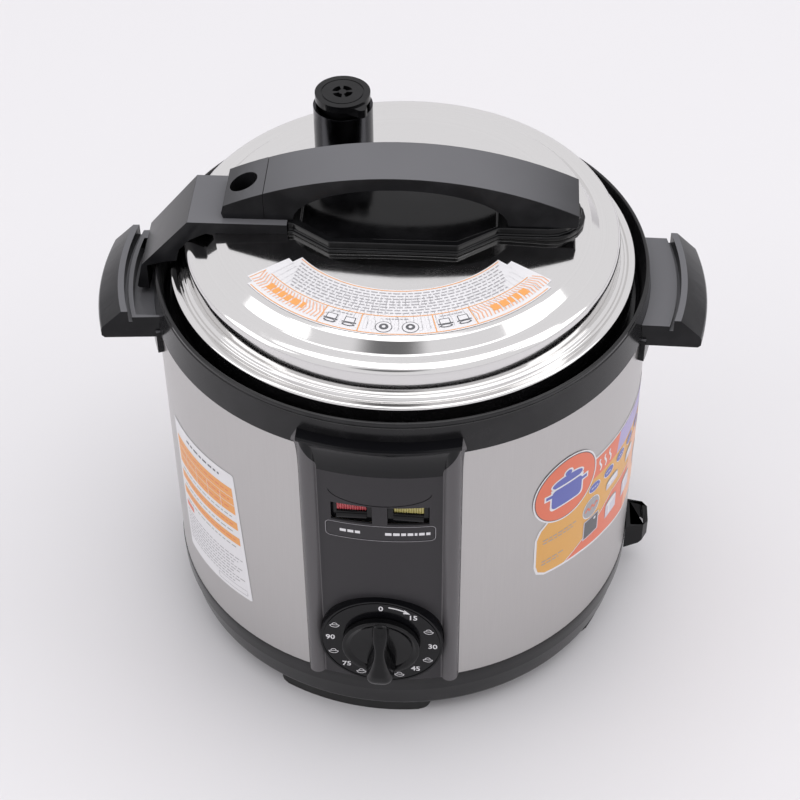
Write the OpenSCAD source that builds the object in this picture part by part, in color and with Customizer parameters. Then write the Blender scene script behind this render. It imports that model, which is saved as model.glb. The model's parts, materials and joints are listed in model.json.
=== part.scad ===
// Electric pressure cooker with a mechanical timer.
// Millimetres. Z is up, the floor is z = 0 and the body's axis is the Z axis.
// The control panel faces -Y, the handles lie along X.

/* [Body] */
// Outside diameter of the steel sleeve
body_d = 272; // [250:1:300]
// Height of the steel sleeve
sleeve_h = 178; // [165:1:210]
// Thickness of the sleeve's sheet
sleeve_t = 0.8; // [0.5:0.1:1.2]
// Height of the base ring
base_h = 30; // [26:1:38]
// Height of the feet under the base ring
foot_h = 8; // [7:0.5:12]
// Height of the collar above the sleeve
collar_h = 23.5; // [20:0.5:28]
// Wall of the plastic mouldings
wall = 2.6; // [2:0.1:3.2]

/* [Pots] */
// Thickness of the outer pot's sheet
shell_t = 2; // [1.5:0.1:2.5]
// Radial air gap between the pots
pot_gap = 1.5; // [1:0.1:2.5]
// Thickness of the inner pot
pot_t = 1.5; // [1:0.1:2.5]
// Inside depth of the inner pot
pot_depth = 122; // [100:1:128]
// Radius of the bend between the pot's wall and its bottom
pot_bend = 9; // [6:0.5:14]
// Number of bayonet lugs
lug_count = 8; // [6:1:10]
// Radial width of the outer pot's lugs
lug_w = 5.4; // [4.5:0.1:6.5]
// Height of each lug
lug_t = 3; // [2.5:0.1:3.6]

/* [Lid] */
// Step from the sleeve's radius in to the lid's rim
lid_inset = 9.4; // [8:0.2:12]
// Thickness of the lid's sheet
lid_t = 1.4; // [1:0.1:1.8]
// Height from the rim to the top of the shoulder
lid_rise = 19.5; // [16:0.5:24]
// Radius of the shoulder's bend
shoulder_r = 9; // [7:0.5:11]
// Height of the bevel up to the central disc
disc_step = 5.4; // [4:0.2:7]
// How much the central disc bulges at its middle
disc_crown = 2; // [0:0.2:3]

/* [Lid handle] */
// Length of the arched grip from the body's axis to its right end
grip_reach = 94; // [86:1:98]
// Width of the grip
grip_w = 33; // [28:1:38]
// Height of the grip's crown above the handle base
grip_h = 29; // [24:0.5:34]
// Height of the handle base above the lid's disc
plate_h = 7; // [5.5:0.5:9]
// Half width of the octagonal middle of the handle base
plate_w = 36; // [32:0.5:37]
// Width of the locking arm beside the grip
arm_w = 42; // [38:1:46]
// Width of the arm's tip
tip_w = 36.5; // [30:0.5:40]

/* [Valves] */
// Diameter of the valve's guard
guard_d = 32.8; // [30:0.2:34]
// Height of the guard above the lid
guard_h = 33; // [28:0.5:36]
// Distance of the exhaust valve to the left of the axis
valve_x = 35.3; // [30:0.5:40]
// Distance of the exhaust valve behind the axis
valve_y = 54.4; // [54:0.2:58]
// Diameter of the float's hole in the handle
float_hole_d = 15; // [12:0.5:16]
// Rise of the float under pressure
float_lift = 5; // [3:0.5:5]

/* [Side handles] */
// Length of a side handle
handle_l = 75; // [70:1:84]
// Reach of a side handle past the sleeve
handle_reach = 31.5; // [28:0.5:36]
// Height of a side handle at its root
handle_h = 14; // [12:0.5:16]

/* [Control panel] */
// Width of the control panel
panel_w = 84; // [76:1:90]
// Width of each pillar beside the panel's face
pillar_w = 9.5; // [7:0.5:11]
// Radius of the dial
dial_r = 34; // [31:0.5:36]
// Height of the dial's centre above the floor
dial_z = 74.5; // [72:0.5:80]
// Diameter of the timer knob
knob_d = 43; // [36:1:46]
// Reach of the knob's bar in front of its disc
knob_bar_h = 13.5; // [10:0.5:16]
// Width of a lamp window
lamp_w = 21.8; // [19:0.2:24]
// Height of a lamp window
lamp_h = 12.8; // [11:0.1:16]
// Distance between the lamp windows' centres
lamp_pitch = 29.8; // [27:0.2:34]

/* [Ladle bracket] */
// Width of the bracket along the body
ladle_w = 26; // [20:1:34]
// Reach of the bracket from the base ring
ladle_reach = 14; // [12:0.5:18]

/* [Hidden] */
$fn = 96;

seat = 0.05;          // gap between pieces that are screwed or pressed together
run_fit = 0.06;       // radial gap of a shaft that turns in its bush
free = 0.4;           // gap between pieces that move past each other
cut = 1;              // how far a cutting shape runs past what it cuts

// Heights of the body's levels
z_base = foot_h;
z_sleeve = z_base + base_h;
z_collar = z_sleeve + sleeve_h;
z_rim = z_collar + collar_h;
collar_proud = 1;
body_r = body_d / 2;
collar_r = body_r + collar_proud;
z_lip = z_rim - 2.4;
lip_r = collar_r - 2.4;
// The collar's outside draws in evenly from its foot to its lip
function collar_at(z) = collar_r + (lip_r - collar_r) * (z - z_collar) / (z_lip - z_collar);
sleeve_in = body_r - sleeve_t;

// Radii from the lid's rim inwards to the inner pot
lid_r = body_r - lid_inset;
skirt_in = lid_r - lid_t;
lug_gap = 0.8;
lug_r = skirt_in - lug_gap;
shell_r = lug_r - lug_w;
shell_in = shell_r - shell_t;
pot_r = shell_in - pot_gap;
pot_in = pot_r - pot_t;
throat_r = lid_r + 4;

// Heights of the lid and the pots
lid_z = z_rim - 1.2;
shell_top = z_rim - 7.5;
lug_top = shell_top - 2;
lug_low = lug_top - lug_t;
lid_lug_top = lug_low - free;
skirt_low = lid_lug_top - lug_t - 0.6;
pot_rim = shell_top + 0.2;
pot_rim_t = 1.6;
pot_low = pot_rim + pot_rim_t - pot_depth - 2;
plate_top = pot_low - 0.3;
plate_t = 14;
plate_low = plate_top - plate_t;
shell_low = plate_low - 9.5;
spring_t = 1.4;
pitch = 360 / lug_count;
lug_arc = pitch / 2;
lid_lug_arc = lug_arc - 2.5;

// The lid's section, from the skirt's edge to the axis
dome_r = lid_r - 9.2;
shoulder_z = lid_z + lid_rise;
bevel_r = dome_r - shoulder_r - 2;
disc_z = shoulder_z + disc_step;
disc_r = bevel_r - disc_step - 1;
roll_r = 2.4;

function arc(cx, cy, r, a0, a1, n) =
    [for (i = [0:n]) let (a = a0 + (a1 - a0) * i / n) [cx + r * cos(a), cy + r * sin(a)]];
function disc_height(r) = disc_z + disc_crown * (1 - pow(r / disc_r, 2));
lid_path = concat(
    [[lid_r, skirt_low]],
    arc(lid_r - roll_r, lid_z - 0.5, roll_r, 0, 90, 5),
    [[dome_r + 3.2, lid_z + 1.4], [dome_r + 2, lid_z + 2.9], [dome_r + 1, lid_z + 3.6]],
    arc(dome_r - shoulder_r, shoulder_z - shoulder_r, shoulder_r, 0, 90, 8),
    [[bevel_r, shoulder_z], [disc_r + 1, disc_z - 0.4]],
    [for (i = [0:4]) let (r = disc_r * (1 - i / 4)) [r, disc_height(r)]]
);
// Unit normal on the right of a step, and the joint between two steps
function side(p, q) = [q.y - p.y, p.x - q.x] / norm(q - p);
function miter(a, b) = (a + b) / (1 + a * b);
function normal_at(path, i) =
    i == 0 ? side(path[0], path[1]) :
    i == len(path) - 1 ? side(path[i - 1], path[i]) :
    miter(side(path[i - 1], path[i]), side(path[i], path[i + 1]));
function offset_path(path, d) = [for (i = [0:len(path) - 1])
    let (p = path[i] + d * normal_at(path, i)) [max(p.x, 0), p.y]];
function backwards(path) = [for (i = [len(path) - 1:-1:0]) path[i]];

// Lid handle levels
plate_z = disc_z + plate_h;
arch_rise = 21;
crown_z = plate_z + grip_h;
arch_r = (grip_reach * grip_reach + arch_rise * arch_rise) / (2 * arch_rise);
block_out = grip_reach + 1.2;
block_in = 72.4;
float_x = 84.5;
span = 57;
arm_x = 59.8;
screw_xs = [-66, 66];
screw_r = 2.5;
tip_in = collar_r + 0.8;
tip_out = tip_in + 6.6;
tip_low = z_rim - 17.5;

// Side handle levels
handle_low = z_rim - 28;
handle_top = handle_low + handle_h;
handle_r = body_r + handle_reach;
groove_r = collar_r + 13.3;
recess_out = tip_out + 3.4;
recess_low = tip_low - 4;
socket_front = -tip_w / 2 - 26.8;

// Panel
panel_turn = -1.9;
face_r = body_r + 1.4;
pillar_at = panel_w / 2 - pillar_w / 2;
pillar_a = asin(pillar_at / body_r);
panel_a = asin(panel_w / 2 / body_r);
panel_low = z_sleeve + 0.25;
panel_top = z_rim - 13.5;
scoop_h = 26;
brow_r = body_r + 7.2;
dial_face = body_r + 4.6;
knob_back = dial_face + 0.6;
knob_disc_t = 4;
knob_front = knob_back + knob_disc_t;
shaft_r = 3;
lamp_z = z_sleeve + 135;
window_half = lamp_pitch / 2 + lamp_w / 2 + 0.6;
lens_w = lamp_w - 6;
lens_h = 5.8;
lens_z = lamp_z + 2.9;
housing_r = body_r - 1;

// Timer and the room under the pots
timer_w = 50;
timer_h = 36;
timer_d = 34;
timer_front = body_r - 2.2;
timer_top = dial_z + 9;
floor_t = 2.5;
floor_z = z_base + floor_t;
cover_r = body_r - 40;
floor_in = cover_r - 8;
bolt_ring = body_r - 32;
bolt_r = 2.5;
cover_screw_ring = cover_r - 4;
inlet_z = z_sleeve + 24;
inlet_w = 48;
inlet_h = 31;
recess_w = 24;
recess_h = 16.5;
inlet_face = body_r + 3.2;
recess_d = 16;
sensor_r = 14.5;

function third(i) = 90 + 120 * i;

module ring(r_in, r_out, low, high) {
    rotate_extrude() polygon([[r_in, low], [r_out, low], [r_out, high], [r_in, high]]);
}

module sector(r_in, r_out, a0, a1, low, high) {
    rotate([0, 0, a0]) rotate_extrude(angle = a1 - a0)
        polygon([[r_in, low], [r_out, low], [r_out, high], [r_in, high]]);
}

module block(x0, x1, y0, y1, z0, z1) {
    translate([x0, y0, z0]) cube([x1 - x0, y1 - y0, z1 - z0]);
}

// A shape drawn in X and Z, given a thickness along Y
module slab(y0, y1) {
    translate([0, y1, 0]) rotate([90, 0, 0]) linear_extrude(y1 - y0) children();
}

module rod(r, y0, y1, x = 0, z = 0) {
    translate([x, y1, z]) rotate([90, 0, 0]) cylinder(r = r, h = y1 - y0);
}

module pin_at(r, x, y, low, high) {
    translate([x, y, low]) cylinder(r = r, h = high - low);
}

// The room the lid's outside takes, grown by a gap
module lid_room(gap) {
    rotate_extrude() polygon(concat(offset_path(lid_path, gap), [[0, 0], [lid_r + gap, 0]]));
}

// The room the sleeve's and the collar's outside takes
module body_room() {
    rotate_extrude() polygon([[0, 0], [body_r + seat, 0], [body_r + seat, z_collar - seat],
        [collar_r + seat, z_collar - seat], [lip_r + seat, z_lip], [0, z_lip]]);
}

// The panel and what is behind it stand a little off the front, seen from above
module at_panel() {
    rotate([0, 0, panel_turn]) children();
}

// ---------------------------------------------------------------- body

module feet() {
    color("#1c1c1e")
    for (i = [0:3]) rotate([0, 0, -119 + 90 * i]) {
        sector(body_r - 22, body_r - 6.5, 0, 36, 0, z_base);
        for (a = [0, 36]) rotate([0, 0, a]) pin_at(7.4, body_r - 14.25, 0, 0, z_base);
    }
}

module bottom_cover() {
    color("#2a2a2d")
    difference() {
        pin_at(cover_r, 0, 0, z_base - 1.5, z_base - seat);
        for (i = [0:3]) rotate([0, 0, 45 + 90 * i])
            pin_at(2.2, cover_screw_ring, 0, 0, z_base + cut);
        for (a = [0:15:345]) rotate([0, 0, a]) block(30, 62, -2, 2, 0, z_base + cut);
    }
}

module base_ring() {
    color("#2b2b2e")
    difference() {
        union() {
            rotate_extrude() polygon(concat(
                [[floor_in, z_base], [body_r - 8, z_base]],
                arc(body_r - 8, z_base + 5, 5, -90, -10, 5),
                [[body_r - 1.4, z_sleeve - 12], [body_r + 0.2, z_sleeve - 11.2],
                 [body_r + 0.5, z_sleeve - 1], [body_r, z_sleeve], [sleeve_in - 0.1, z_sleeve],
                 [sleeve_in - 0.1, z_sleeve + 8], [sleeve_in - wall, z_sleeve + 8],
                 [sleeve_in - wall - 1, z_base + 6], [body_r - 8, floor_z], [floor_in, floor_z]]
            ));
            for (i = [0:2]) rotate([0, 0, third(i)])
                pin_at(7, bolt_ring, 0, floor_z - 1, shell_low - seat);
            for (i = [0:3]) rotate([0, 0, 45 + 90 * i])
                pin_at(3.9, cover_screw_ring, 0, floor_z - 1, floor_z + 12);
        }
        for (i = [0:2]) rotate([0, 0, third(i)])
            pin_at(bolt_r + seat, bolt_ring, 0, 0, shell_low + cut);
        for (i = [0:3]) rotate([0, 0, 45 + 90 * i])
            pin_at(1.6 + seat, cover_screw_ring, 0, 0, floor_z + 10);
        block(body_r - 8, body_r + 4, -ladle_w / 4, ladle_w / 4, z_sleeve - 9, z_sleeve - 3);
    }
}

module base_screws() {
    color("silver")
    for (i = [0:3]) rotate([0, 0, 45 + 90 * i]) difference() {
        union() {
            pin_at(3.4, cover_screw_ring, 0, z_base - 3.7, z_base - 1.55);
            pin_at(1.6, cover_screw_ring, 0, z_base - 2, floor_z + 9);
        }
        translate([cover_screw_ring, 0, z_base - 3.2]) cube([0.9, 4.4, 2], center = true);
        translate([cover_screw_ring, 0, z_base - 3.2]) cube([4.4, 0.9, 2], center = true);
    }
}

module sleeve() {
    color("#bebbba")
    difference() {
        ring(sleeve_in, body_r, z_sleeve + seat, z_collar - seat);
        at_panel() {
            block(-dial_r + 6, dial_r - 6, -body_r - cut, -body_r / 2, dial_z - 22, dial_z + 22);
            block(-window_half, window_half, -body_r - cut, -body_r / 2,
                lamp_z - lamp_h / 2 - 1, lamp_z + lamp_h / 2 + 1);
        }
        block(-17, 17, body_r / 2, body_r + cut, inlet_z - 13, inlet_z + 13);
        for (a = handle_at) for (y = [-1, 1]) rotate([0, 0, a]) handle_bore(y, 2.3);
    }
}

module collar() {
    low = z_collar;
    color("#38373a")
    rotate_extrude() polygon(concat(
        [[shell_r + 0.3, low - 3], [sleeve_in - wall - 1, low - 3],
         [sleeve_in - wall, low - 5], [sleeve_in - 0.1, low - 5], [sleeve_in - 0.1, low],
         [collar_r, low]],
        arc(lip_r - 0.95, z_lip - 0.95, 0.95, 0, 170, 6),
        [[throat_r + 1.9, z_lip - 2.6], [throat_r + 0.6, z_rim - 12], [throat_r, low + 1.5],
         [throat_r - 1.6, low - 0.8], [shell_r + 0.3, low - 0.8]]
    ));
}

// ---------------------------------------------------------------- side handles

screw_a = 12;
handle_at = [-1.3, 184];   // where the right and the left handle are round the body
handle_screw_z = z_collar - 9.5;

module handle_bore(y, r) {
    rotate([0, 0, y * screw_a]) translate([body_r - 8, 0, handle_screw_z])
        rotate([0, 90, 0]) cylinder(r = r, h = 16);
}

// The section of a handle's outer shape, radius against height
function handle_section() = [
    [collar_r + seat, handle_low], [collar_r + seat, z_collar],
    [collar_at(handle_top) + seat, handle_top], [groove_r, handle_top],
    [groove_r, handle_top - 3], [groove_r + 2, handle_top - 3], [groove_r + 2, handle_top + 4],
    [groove_r + 5.4, handle_top + 4], [handle_r - 1, handle_low + 7.5],
    [handle_r, handle_low + 5.5], [handle_r, handle_low + 1.5], [handle_r - 1.5, handle_low]
];

module half_handle(hollow_top) {
    half = handle_l / 2;
    difference() {
        union() {
            intersection() {
                rotate([0, 0, -30]) rotate_extrude(angle = 60) polygon(handle_section());
                block(0, 2 * body_r, -half, half, 0, 2 * z_rim);
            }
            sector(body_r + seat, collar_r + 2.2, -16.5, 16.5, handle_low - 10, z_collar - 0.2);
        }
        intersection() {
            rotate([0, 0, -30]) rotate_extrude(angle = 60) polygon([
                [collar_r + 3, handle_low - cut], [handle_r - wall, handle_low - cut],
                [handle_r - wall, handle_low + 5], [groove_r + 4.6, handle_top + 1.4],
                [groove_r + 3.4, handle_top + 1.4], [groove_r + 3.4, hollow_top],
                [collar_r + 3, hollow_top]
            ]);
            block(0, 2 * body_r, wall - half, half - wall, 0, 2 * z_rim);
        }
        for (y = [-1, 1]) handle_bore(y, 1.9 + seat);
    }
}

module left_handle() {
    color("#3c3b3f")
    difference() {
        rotate([0, 0, handle_at[1]]) half_handle(recess_low - 2);
        intersection() {
            ring(lip_r, recess_out, recess_low, handle_top + cut);
            block(-2 * body_r, 0, socket_front, tip_w / 2 + 2, 0, 2 * z_rim);
        }
    }
}

module right_handle() {
    color("#3c3b3f") rotate([0, 0, handle_at[0]]) half_handle(handle_top - 5.6);
}

module handle_screws() {
    color("silver")
    for (a = handle_at) for (y = [-1, 1])
        rotate([0, 0, a + y * screw_a]) translate([0, 0, handle_screw_z]) rotate([0, 90, 0]) {
            translate([0, 0, sleeve_in - 2.6]) cylinder(r = 3.6, h = 2.5);
            translate([0, 0, sleeve_in - 1]) cylinder(r = 1.9, h = 4.4);
        }
}

// ---------------------------------------------------------------- control panel

module engraving(depth) {
    intersection() {
        slab(-body_r - 20, 0) children();
        ring(face_r - depth, face_r + 20, 0, z_rim);
    }
}

module lamp_hole(grow) {
    for (x = [-1, 1]) translate([x * lamp_pitch / 2, lamp_z])
        square([lamp_w + grow, lamp_h + grow], center = true);
}

// The shallow bow above the lamps, the lower half of an ellipse
module smile() {
    deep = 8.5;
    half = panel_w / 2 - pillar_w - 5.5;
    translate([0, lamp_z + lamp_h / 2 + 0.8 + deep]) difference() {
        scale([half, deep + 0.35]) circle(r = 1);
        scale([half - 0.7, deep - 0.35]) circle(r = 1);
        translate([-2 * half, 0]) square([4 * half, 4 * half]);
    }
}

// A rectangle about the origin with rounded corners
module round_plate(half_w, half_h, r) {
    x = half_w - r;
    y = half_h - r;
    polygon(concat(arc(x, y, r, 0, 90, 6), arc(-x, y, r, 90, 180, 6),
        arc(-x, -y, r, 180, 270, 6), arc(x, -y, r, 270, 360, 6)));
}

module tag_outline() {
    half = panel_w / 2 - pillar_w - 3.5;
    translate([0, lamp_z - lamp_h / 2 - 7]) difference() {
        round_plate(half, 5.5, 2.5);
        round_plate(half - 0.5, 5, 2);
    }
}

module control_panel() {
    color("#434247")
    at_panel() difference() {
        union() {
            rotate([0, 0, -90 - panel_a]) rotate_extrude(angle = 2 * panel_a) polygon(concat(
                [[body_r - 3, panel_low], [face_r, panel_low]],
                [for (a = [0:15:90]) [face_r + (brow_r - face_r) * (1 - cos(a)),
                    panel_top - scoop_h + (scoop_h - 2) * sin(a)]],
                [[brow_r, panel_top - 0.8], [brow_r - 0.8, panel_top], [body_r - 3, panel_top]]
            ));
            for (s = [-1, 1]) rotate([0, 0, -90 + s * pillar_a])
                pin_at(pillar_w / 2, body_r + 0.3, 0, panel_low + 0.2, panel_top - 0.2);
            rod(dial_r, -dial_face, -body_r + 10, 0, dial_z);
        }
        body_room();
        slab(-2 * body_r, -body_r / 2) lamp_hole(0);
        engraving(0.5) smile();
        engraving(0.5) tag_outline();
        rod(shaft_r + 2, -2 * body_r, -body_r / 2, 0, dial_z);
        difference() {
            rod(dial_r - 1, -2 * body_r, 0.5 - dial_face, 0, dial_z);
            rod(dial_r - 1.7, -2 * body_r, 0, 0, dial_z);
        }
        // hollow behind the dial, which leaves room for the timer's screws
        rod(dial_r - 8, 2 - dial_face, -body_r / 2, 0, dial_z);
    }
}

module lamp_housing() {
    half = window_half + 2;
    low = lamp_z - lamp_h / 2;
    high = lamp_z + lamp_h / 2;
    color("#141416")
    at_panel() difference() {
        union() {
            intersection() {
                ring(housing_r - 8, housing_r, low - 0.5, high + 0.5);
                block(-half, half, -body_r - cut, 0, 0, z_rim);
            }
            for (x = [-1, 1]) translate([x * lamp_pitch / 2 - lens_w / 2, 2.4 - body_r, low + 3.6])
                rotate([0, 90, 0]) cylinder(r = 2.6, h = lens_w);
        }
        for (x = [-1, 1]) translate([x * lamp_pitch / 2, 0, lens_z])
            cube([lens_w + 0.2, 3 * body_r, lens_h + 0.2], center = true);
    }
}

module lens(x) {
    rib = 1.3;
    count = floor(lens_w / rib);
    block(x - lens_w / 2, x + lens_w / 2, 2.7 - body_r, 4.5 - body_r,
        lens_z - lens_h / 2, lens_z + lens_h / 2);
    for (i = [0:count - 1])
        pin_at(rib / 2, x + (i - (count - 1) / 2) * rib, 2.8 - body_r,
            lens_z - lens_h / 2 + 0.2, lens_z + lens_h / 2 - 0.2);
}

module heat_lamp_lens() {
    color("#c84850") at_panel() lens(-lamp_pitch / 2);
}

module warm_lamp_lens() {
    color("#c9be6b") at_panel() lens(lamp_pitch / 2);
}

module neon_lamps() {
    color("#e8a070")
    at_panel() for (x = [-1, 1]) translate([x * lamp_pitch / 2 - 6, 7.4 - body_r, lens_z])
        rotate([0, 90, 0]) cylinder(r = 2.2, h = 12);
}

module timer_unit() {
    low = timer_top - timer_h;
    color("#9a9a9e")
    at_panel() difference() {
        union() {
            block(-timer_w / 2, timer_w / 2, 3 - timer_front, timer_d - timer_front, low, timer_top);
            block(-timer_w / 2 + 3, timer_w / 2 - 3, 1.6 - timer_front, 3.1 - timer_front,
                low - 1, timer_top + 6);
            rod(shaft_r + 2.4, -timer_front - 1, 4 - timer_front, 0, dial_z);
        }
        rod(shaft_r + run_fit, -2 * body_r, 14 - timer_front, 0, dial_z);
        for (x = [-1, 1]) rod(1.5 + seat, -2 * body_r, 10 - timer_front, x * 14, dial_z + 3);
    }
}

module timer_screws() {
    color("silver")
    at_panel() for (x = [-1, 1]) {
        rod(1.5, -timer_front, 9 - timer_front, x * 14, dial_z + 3);
        rod(2.9, -timer_front - 0.6, 1.55 - timer_front, x * 14, dial_z + 3);
    }
}

module timer_shaft() {
    color("silver") at_panel() rod(shaft_r, -knob_front - 5, 13 - timer_front, 0, dial_z);
}

// Half width of the knob's bar at a height from -1 to 1 along its length
function bar_half(t) = 5.6 + 3 * pow((1 - t) / 2, 2) - 1.3 * sin(90 * (1 - t));
bar_len = knob_d / 2 - 0.6;
bar_outline = concat(
    [for (t = [0.9:-0.15:-0.6]) [bar_half(t), t * bar_len]],
    arc(0, -0.6 * bar_len, bar_half(-0.6), 0, -180, 10),
    [for (t = [-0.6:0.15:0.9]) [-bar_half(t), t * bar_len]]
);

module timer_knob() {
    color("#232327")
    at_panel() difference() {
        union() {
            rotate_knob() rotate_extrude() polygon([[0, 0], [knob_d / 2, 0],
                [knob_d / 2, knob_disc_t - 1], [knob_d / 2 - 1, knob_disc_t],
                [knob_d / 2 - 2.4, knob_disc_t], [knob_d / 2 - 5, knob_disc_t - 0.9],
                [0, knob_disc_t - 1.4]]);
            intersection() {
                slab(-knob_front - knob_bar_h, -knob_back - 1) translate([0, dial_z])
                    polygon(bar_outline);
                rod(knob_d / 2, -2 * body_r, 0, 0, dial_z);
                // the bar's crown rises from the disc at its top end to the bulb
                rotate([90, 0, 90]) linear_extrude(knob_d, center = true) polygon([
                    [0, dial_z - knob_d], [-knob_front - knob_bar_h, dial_z - knob_d],
                    [-knob_front - knob_bar_h, dial_z - 7], [-knob_front - 9, dial_z + 6],
                    [-knob_front - 0.8, dial_z + knob_d / 2], [0, dial_z + knob_d / 2]
                ]);
            }
        }
        rod(shaft_r + seat, -knob_front - 5.2, 0, 0, dial_z);
    }
}

module rotate_knob() {
    translate([0, -knob_back, dial_z]) rotate([90, 0, 0]) children();
}

// ---------------------------------------------------------------- mains inlet and bracket

module power_inlet() {
    color("#1b1b1d")
    difference() {
        union() {
            block(-inlet_w / 2, inlet_w / 2, body_r / 2, inlet_face,
                inlet_z - inlet_h / 2, inlet_z + inlet_h / 2);
            block(-15, 15, inlet_face - recess_d - 3, inlet_face, inlet_z - 11, inlet_z + 11);
        }
        difference() {
            ring(0, body_r + seat, 0, z_rim);
            block(-15, 15, inlet_face - recess_d - 3, inlet_face, inlet_z - 11, inlet_z + 11);
        }
        translate([0, inlet_face, 0]) slab(-recess_d, cut) translate([0, inlet_z]) polygon([
            [-recess_w / 2, -recess_h / 2], [recess_w / 2, -recess_h / 2],
            [recess_w / 2, recess_h / 2 - 4], [recess_w / 2 - 4, recess_h / 2],
            [4 - recess_w / 2, recess_h / 2], [-recess_w / 2, recess_h / 2 - 4]
        ]);
        for (x = [-7, 0, 7]) inlet_pin(x, seat);
    }
}

module inlet_pin(x, gap) {
    block(x - 1 - gap, x + 1 + gap, inlet_face - recess_d - 8, inlet_face - recess_d + 10,
        inlet_z - 2 - gap + (x == 0 ? 3 : -1), inlet_z + 2 + gap + (x == 0 ? 3 : -1));
}

module inlet_pins() {
    color("silver") for (x = [-7, 0, 7]) inlet_pin(x, 0);
}

module ladle_bracket() {
    half = ladle_w / 2;
    low = z_sleeve - 20;
    out = body_r + ladle_reach;
    bar = 3;
    color("#1f1f22")
    difference() {
        union() {
            intersection() {
                slab(-half, half) polygon([[body_r - 1, low], [out - 5, low + 3],
                    [out, low + 8], [out, z_sleeve - 1], [body_r - 1, z_sleeve - 1]]);
                slab_plan([[body_r - 4, -half], [out - 3, 3 - half], [out, 7 - half],
                    [out, half - 7], [out - 3, half - 3], [body_r - 4, half]]);
            }
            block(body_r - 6, body_r + 3, 0.1 - ladle_w / 4, ladle_w / 4 - 0.1,
                z_sleeve - 8.9, z_sleeve - 3.1);
        }
        difference() {
            ring(0, body_r + 0.6, 0, z_rim);
            block(0, body_r + 3, 0.1 - ladle_w / 4, ladle_w / 4 - 0.1, z_sleeve - 8.9, z_sleeve - 3.1);
        }
        block(body_r + 3.4, out - bar, bar + 0.5 - half, half - bar - 0.5, 0, z_rim);
    }
}

// A plan outline, as tall as the body
module slab_plan(points) {
    linear_extrude(z_rim) polygon(points);
}

// ---------------------------------------------------------------- pots and heater

module outer_pot() {
    color("#a8a8aa")
    difference() {
        union() {
            rotate_extrude() polygon([[shell_in - 43, shell_low], [shell_r, shell_low],
                [shell_r, z_collar - 6], [shell_r + 3, z_collar - 5], [shell_r + 3, z_collar - 3.1],
                [shell_r, z_collar - 3.1], [shell_r, shell_top], [shell_in, shell_top],
                [shell_in, shell_low + shell_t], [shell_in - 43, shell_low + shell_t]]);
            for (i = [0:lug_count - 1]) sector(shell_r - 1, lug_r,
                pitch * i - lug_arc / 2, pitch * i + lug_arc / 2, lug_low, lug_top);
        }
        for (i = [0:2]) rotate([0, 0, third(i)])
            pin_at(bolt_r + seat, bolt_ring, 0, 0, shell_low + 3 * shell_t);
    }
}

module tie_bolts() {
    color("silver")
    for (i = [0:2]) rotate([0, 0, third(i)]) {
        pin_at(bolt_r, bolt_ring, 0, z_base - 1, shell_low + shell_t + 6);
        pin_at(4.6, bolt_ring, 0, z_base - 3, z_base - seat);
    }
}

module tie_nuts() {
    color("#c8c4b8")
    for (i = [0:2]) rotate([0, 0, third(i)]) difference() {
        translate([bolt_ring, 0, shell_low + shell_t + seat]) cylinder(r = 4.6, h = 4, $fn = 6);
        pin_at(bolt_r + seat, bolt_ring, 0, 0, z_rim);
    }
}

element_r = 62;
element_wire = 4;
element_gap = 14;
foot_ring = 48;

module spring_plate() {
    low = shell_low + shell_t + seat;
    color("#b9b9bb")
    difference() {
        pin_at(shell_in - 30, 0, 0, low, low + spring_t);
        pin_at(34, 0, 0, 0, z_rim);
        for (s = [-1, 1]) rotate([0, 0, s * element_gap]) pin_at(6, element_r, 0, 0, z_rim);
        for (i = [0:5]) sector(66, 69, 30 + 60 * i, 70 + 60 * i, 0, z_rim);
    }
}

module heating_plate() {
    color("#c4c4c6")
    difference() {
        union() {
            rotate_extrude() polygon([[sensor_r + 0.9, plate_low], [84, plate_low],
                [86, plate_low + 2], [86, plate_top - 2], [84, plate_top], [sensor_r + 0.9, plate_top]]);
            for (i = [0:2]) rotate([0, 0, third(i)])
                pin_at(6, foot_ring, 0, shell_low + shell_t + spring_t + 2 * seat, plate_low + 1);
        }
        rotate_extrude() translate([element_r, plate_low]) circle(r = element_wire + seat);
    }
}

module heating_element() {
    color("#8d8b86") {
        rotate([0, 0, element_gap]) rotate_extrude(angle = 360 - 2 * element_gap)
            translate([element_r, plate_low]) circle(r = element_wire);
        for (s = [-1, 1]) rotate([0, 0, s * element_gap]) {
            pin_at(element_wire, element_r, 0, plate_low - 12, plate_low);
            pin_at(1.6, element_r, 0, plate_low - 18, plate_low);
        }
    }
}

module sensor_bracket() {
    low = plate_low - 19;
    color("#b9b9bb")
    difference() {
        union() {
            block(-28, 28, -8, 8, low, low + 1.6);
            for (x = [-28, 26.4]) block(x, x + 1.6, -8, 8, low, plate_low - seat);
        }
        pin_at(4, 0, 0, 0, z_rim);
    }
}

spring_low = plate_low - 17.3;
spring_high = plate_low - 5.2;
spring_turns = 5;
spring_sides = 8;
spring_steps = 14;
spring_wire = 0.8;
spring_r = 10;
function helix(i) = let (a = 360 * i / spring_steps, n = spring_turns * spring_steps)
    [a, spring_low + spring_wire + (spring_high - spring_low - 2 * spring_wire) * i / n];

module sensor_spring() {
    rings = spring_turns * spring_steps;
    points = [for (i = [0:rings]) for (k = [0:spring_sides - 1])
        let (h = helix(i), b = 360 * k / spring_sides, r = spring_r + spring_wire * cos(b))
        [r * cos(h[0]), r * sin(h[0]), h[1] + spring_wire * sin(b)]];
    sides = [for (i = [0:rings - 1]) for (k = [0:spring_sides - 1])
        let (a = i * spring_sides + k, b = i * spring_sides + (k + 1) % spring_sides)
        each [[a, a + spring_sides, b], [b, a + spring_sides, b + spring_sides]]];
    ends = [[for (k = [0:spring_sides - 1]) k],
        [for (k = [spring_sides - 1:-1:0]) rings * spring_sides + k]];
    color("silver") polyhedron(points, concat(sides, ends));
}

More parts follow.
